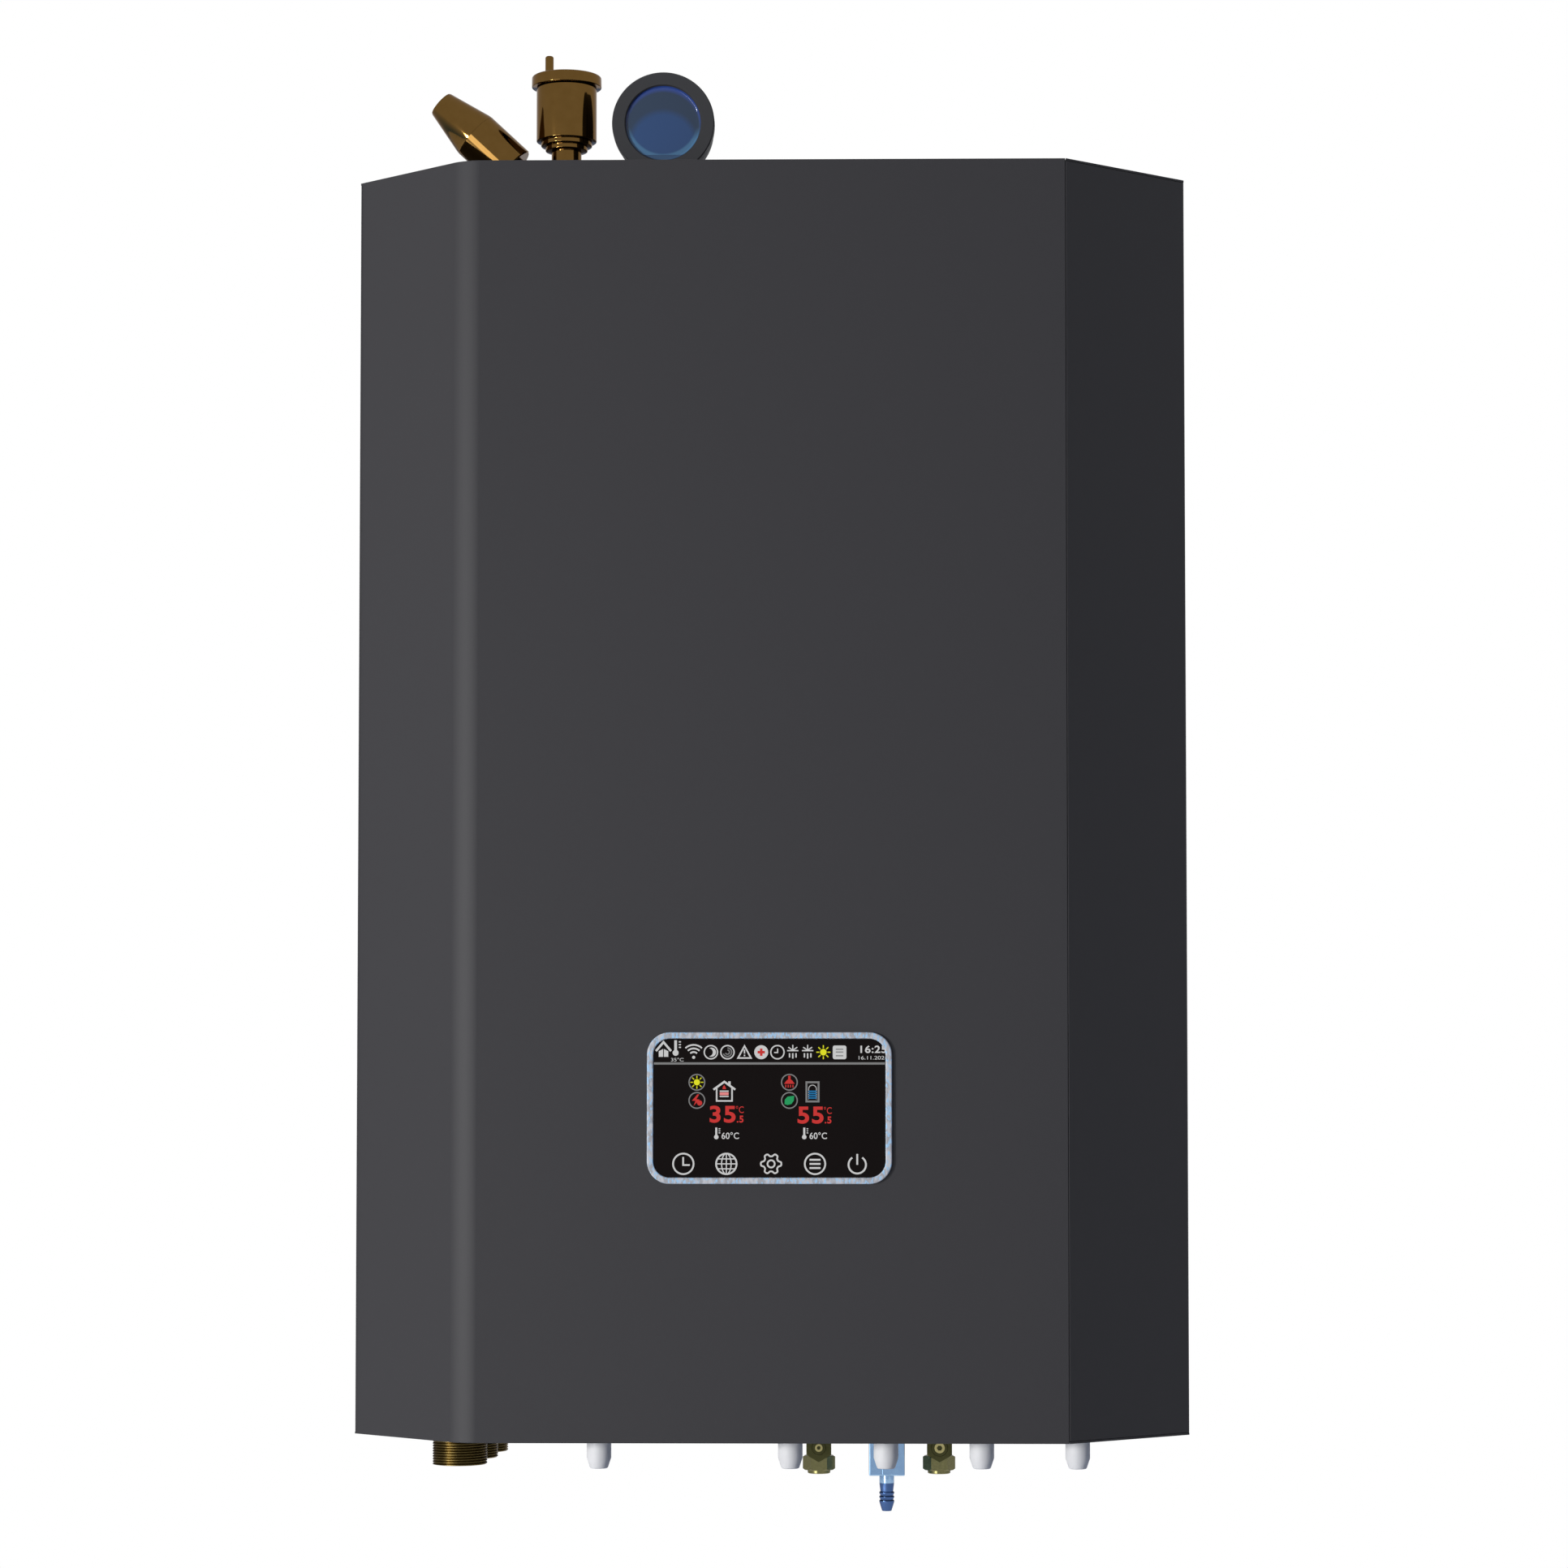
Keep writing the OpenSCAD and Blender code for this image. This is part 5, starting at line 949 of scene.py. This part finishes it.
def lettering(bm, text, x, z, w, h, boldness=0.0, end=None):
    """Figures that fill a width and a height from (x, z); what lies right of the end is cut away."""
    curve = bpy.data.curves.new(text, "FONT")
    curve.body = text
    curve.offset = boldness
    curve.space_character = 1 + 4 * boldness
    written = bpy.data.objects.new(text, curve)
    mesh = bpy.data.meshes.new_from_object(written)
    bpy.data.objects.remove(written)
    left, right = (limit(v.co.x for v in mesh.vertices) for limit in (min, max))
    low, high = (limit(v.co.y for v in mesh.vertices) for limit in (min, max))
    before = set(bm.verts)
    bm.from_mesh(mesh)
    made = added(bm, before)
    for v in made:
        v.co = (x + (v.co.x - left) * w / (right - left), 0, z + (v.co.y - low) * h / (high - low))
    if end:
        letters = once(g for v in made for g in (v, *v.link_edges, *v.link_faces))
        bmesh.ops.bisect_plane(bm, geom=letters, plane_co=(end, 0, 0), plane_no=(1, 0, 0), clear_outer=True)


def sun(bm, x, z, inner, outer, width):
    """A disc with eight rays."""
    area(bm, circle(x, z, inner)[:-1])
    for turn in range(0, 360, 45):
        a = radians(turn)
        stroke(bm, [(x + r * cos(a), z + r * sin(a)) for r in (inner + 0.5, outer)], width)


def thermometer(bm, x, z, h):
    """A bulb with its tube, standing on z."""
    area(bm, circle(x, z + h * 0.2, h * 0.19)[:-1])
    stroke(bm, [(x, z + h * 0.3), (x, z + h)], h * 0.17)
    for share in (0.55, 0.72, 0.9):
        stroke(bm, [(x + h * 0.2, z + h * share), (x + h * 0.34, z + h * share)], h * 0.08)


# Top row, from the left: room, outside temperature, wireless, night, fan, warning, health,
# clock, two kinds of thaw, sun, tariff, and the time
TOP = 32.7
stroke(white, [(-66.5, 33.4), (-62.1, 38.6), (-57.7, 33.4)], 1.3)
half_house = ((0.25, 30.0), (2.8, 30.0), (2.8, 33.3), (0.25, 34.6))
for side in (-1, 1):
    area(white, [(-62.1 + side * reach, z) for reach, z in half_house])
thermometer(white, -55, 30.5, 9.2)
lettering(white, "35°C", -57.7, 27.3, 7.4, 2.1)
for r in (2.9, 5.0, 7.1):
    stroke(white, circle(-44.4, 29.9, r, 47, 86), 0.95)
area(white, circle(-44.4, 29.7, 0.9)[:-1])
for x in (-34.3, -24.6, 4.7):
    stroke(white, circle(x, TOP, 3.9), 0.75)
area(white, circle(-34.0, TOP, 2.7, -120, 240) + circle(-35.5, TOP, 2.35, 84, -168))
for r in (1.2, 2.5):
    stroke(grey, circle(-24.6, TOP, r, 200, 250), 0.7)
stroke(white, [(-14.6, 36.3), (-18.4, 29.3), (-10.8, 29.3), (-14.6, 36.3)], 0.9)
stroke(white, [(-14.6, 34.2), (-14.6, 31.9)], 0.8)
box(white, -14.6, 30.8, 0.8, 0.8)
area(white, circle(-4.8, TOP, 4.1)[:-1])
box(red, -4.8, TOP, 4.3, 1.5)
box(red, -4.8, TOP, 1.5, 4.3)
stroke(white, [(4.8, 34.8), (4.8, 32.5), (2.8, 32.5)], 0.7)
for x in (13.7, 22.4):
    stroke(white, [(x - 3.3, 33.6), (x + 3.3, 33.6)], 0.7)
    for turn in (35, 90, 145):
        a = radians(turn)
        stroke(white, [(x, 33.8), (x + 3.2 * cos(a), 33.8 + 3.2 * sin(a))], 0.65)
    for step in (-1.9, 0, 1.9):
        stroke(white, [(x + step, 32.1), (x + step, 29.6 - (0.6 if step == 0 else 0))], 0.8)
sun(yellow, 31.6, TOP, 1.9, 4.1, 0.6)
tag_corners = ((0, 43.9, 35.4), (90, 38.3, 35.4), (180, 38.3, 29.8), (270, 43.9, 29.8))
area(white, [point for turn, x, z in tag_corners for point in circle(x, z, 1.2, turn, 90)])
for z in (34.4, 32.8, 30.6):
    box(grey, 41.1, z, 4.4, 0.6)
lettering(white, "16:25", 53.3, 32.2, 15.3, 4.4, 0.02, end=FIGURES_END)
lettering(white, "16.11.2026", 52.3, 28.4, 17.0, 2.1, end=FIGURES_END)
box(grey, 0, 26.1, 135.4, 1.3)

# Heating on the left and hot water on the right: what warms it, its sign, and its temperatures
for x in (-42.5, 11.7):
    for z in (15.1, 4.5):
        stroke(grey, circle(x, z, 4.6), 0.7)
sun(yellow, -42.5, 15.1, 1.8, 3.8, 0.5)
area(red, [(-42.2, 8.0), (-45.4, 4.3), (-43.3, 4.3), (-44.4, 1.3), (-40.9, 5.0), (-42.8, 5.2),
           (-41.1, 8.0)])
area(red, circle(-40.9, 3.0, 1.5)[:-1])
stroke(white, [(-30.9, 11.6), (-30.9, 4.2), (-21.9, 4.2), (-21.9, 11.6)], 0.9)
stroke(white, [(-32.8, 10.8), (-26.4, 15.4), (-20.0, 10.8)], 1.2)
stroke(white, [(-23.4, 13.6), (-23.4, 15.6)], 1.4)
area(red, [(-27.5, 11.1), (-25.4, 11.1), (-25.7, 12.2), (-26.5, 13.5), (-27.3, 12.2)])
box(white, -26.5, 9.9, 5.2, 0.7)
box(pink, -26.5, 8.4, 5.2, 1.7)
box(white, -26.5, 6.8, 5.2, 0.7)
area(red, [(8.6, 14.2), (14.8, 14.2), (13.4, 16.1), (12.4, 16.8), (12.4, 18.9), (11.0, 18.9),
           (11.0, 16.8), (10.0, 16.1)])
for step in range(4):
    box(red, 9.6 + 1.4 * step, 12.8, 0.6, 1.6)
area(green, [(8.9, 2.3), (9.0, 4.9), (10.6, 6.7), (14.5, 7.2), (14.3, 4.4), (12.9, 2.4), (10.6, 1.8)])
stroke(grey, [(21.7, 3.9), (28.8, 3.9), (28.8, 15.1), (21.7, 15.1), (21.7, 3.9)], 1.1)
stroke(white, [(23.0, 5.2), (23.0, 11.0), *circle(25.25, 11.2, 2.25, 180, -180), (27.5, 11.0),
               (27.5, 5.2)], 0.35)
for step in range(4):
    box(blue, 25.25, 5.9 + 1.3 * step, 4.9, 0.8)
for x, figures in ((-35.0, "35"), (16.5, "55")):
    top = 1.4 if figures == "35" else 0.9
    lettering(red, figures, x, top - 10.0, 15.2, 10.0, 0.026)
    lettering(red, "°C", x + 15.4, top - 4.3, 4.6, 4.1)
    lettering(red, ".5", x + 15.9, top - 9.9, 3.9, 4.1, 0.03)
    thermometer(white, x + 3.9, -18.3, 6.9)
    lettering(white, "60°C", x + 7.0, -18.1, 10.2, 4.0, 0.01)

# Bottom row of touch keys: times, language, settings, mode, and standby
KEYS = -32.6
GLOBE_X = -25.2
for x in (-50.4, GLOBE_X, 26.7):
    stroke(white, circle(x, KEYS, 6.0), 1.0)
stroke(white, [(-50.5, KEYS + 4.0), (-50.5, KEYS - 0.7), (-46.6, KEYS - 0.7)], 1.0)
stroke(white, [(GLOBE_X, KEYS - 6.0), (GLOBE_X, KEYS + 6.0)], 0.65)
turns = [radians(a) for a in range(-90, 271, 15)]
stroke(white, [(GLOBE_X + 2.8 * cos(a), KEYS + 6.0 * sin(a)) for a in turns], 0.65)
for z, reach in ((-2.9, 5.2), (0, 6.0), (2.9, 5.2)):
    stroke(white, [(GLOBE_X - reach, KEYS + z), (GLOBE_X + reach, KEYS + z)], 0.65)
teeth = [(a, 5.2 + 0.8 * max(-1, min(1, 1.6 * cos(radians(6 * a))))) for a in range(0, 361, 5)]
stroke(white, [(1.0 + r * cos(radians(a)), KEYS + r * sin(radians(a))) for a, r in teeth], 0.95)
stroke(white, circle(1.0, KEYS, 2.1), 0.95)
for z in (-2.4, 0, 2.4):
    box(white, 26.7, KEYS + z, 6.4, 1.1)
stroke(white, circle(51.4, KEYS - 0.5, 5.1, 125, 290), 1.05)
stroke(white, [(51.4, KEYS + 5.8), (51.4, KEYS - 0.5)], 1.05)

for name, (code, depth) in LAYERS.items():
    glow, tree, here = new_finish(name + "_display_light")
    dots = add(tree, "TexNoise", {"Vector": here, "Scale": 1 / (0.3 * MM)})
    level = add(tree, "MapRange", {"Value": dots, "To Min": 0.94, "To Max": 1.06})
    end_finish(tree, {"Base Color": "#000000", "Specular IOR Level": 0.0, "Roughness": 0.9,
                      "Emission Color": code, "Emission Strength": level})
    bm = layers[name]
    pull(bm, bmesh.ops.extrude_face_region(bm, geom=list(bm.faces)), (0, -depth, 0))
    bmesh.ops.recalc_face_normals(bm, faces=bm.faces)
    bmesh.ops.translate(bm, vec=(0, GLASS_FRONT - FILM_GAP, SCREEN_Z), verts=bm.verts)
    as_piece(bm, "display_" + name, glow, "cover", "display_glass")
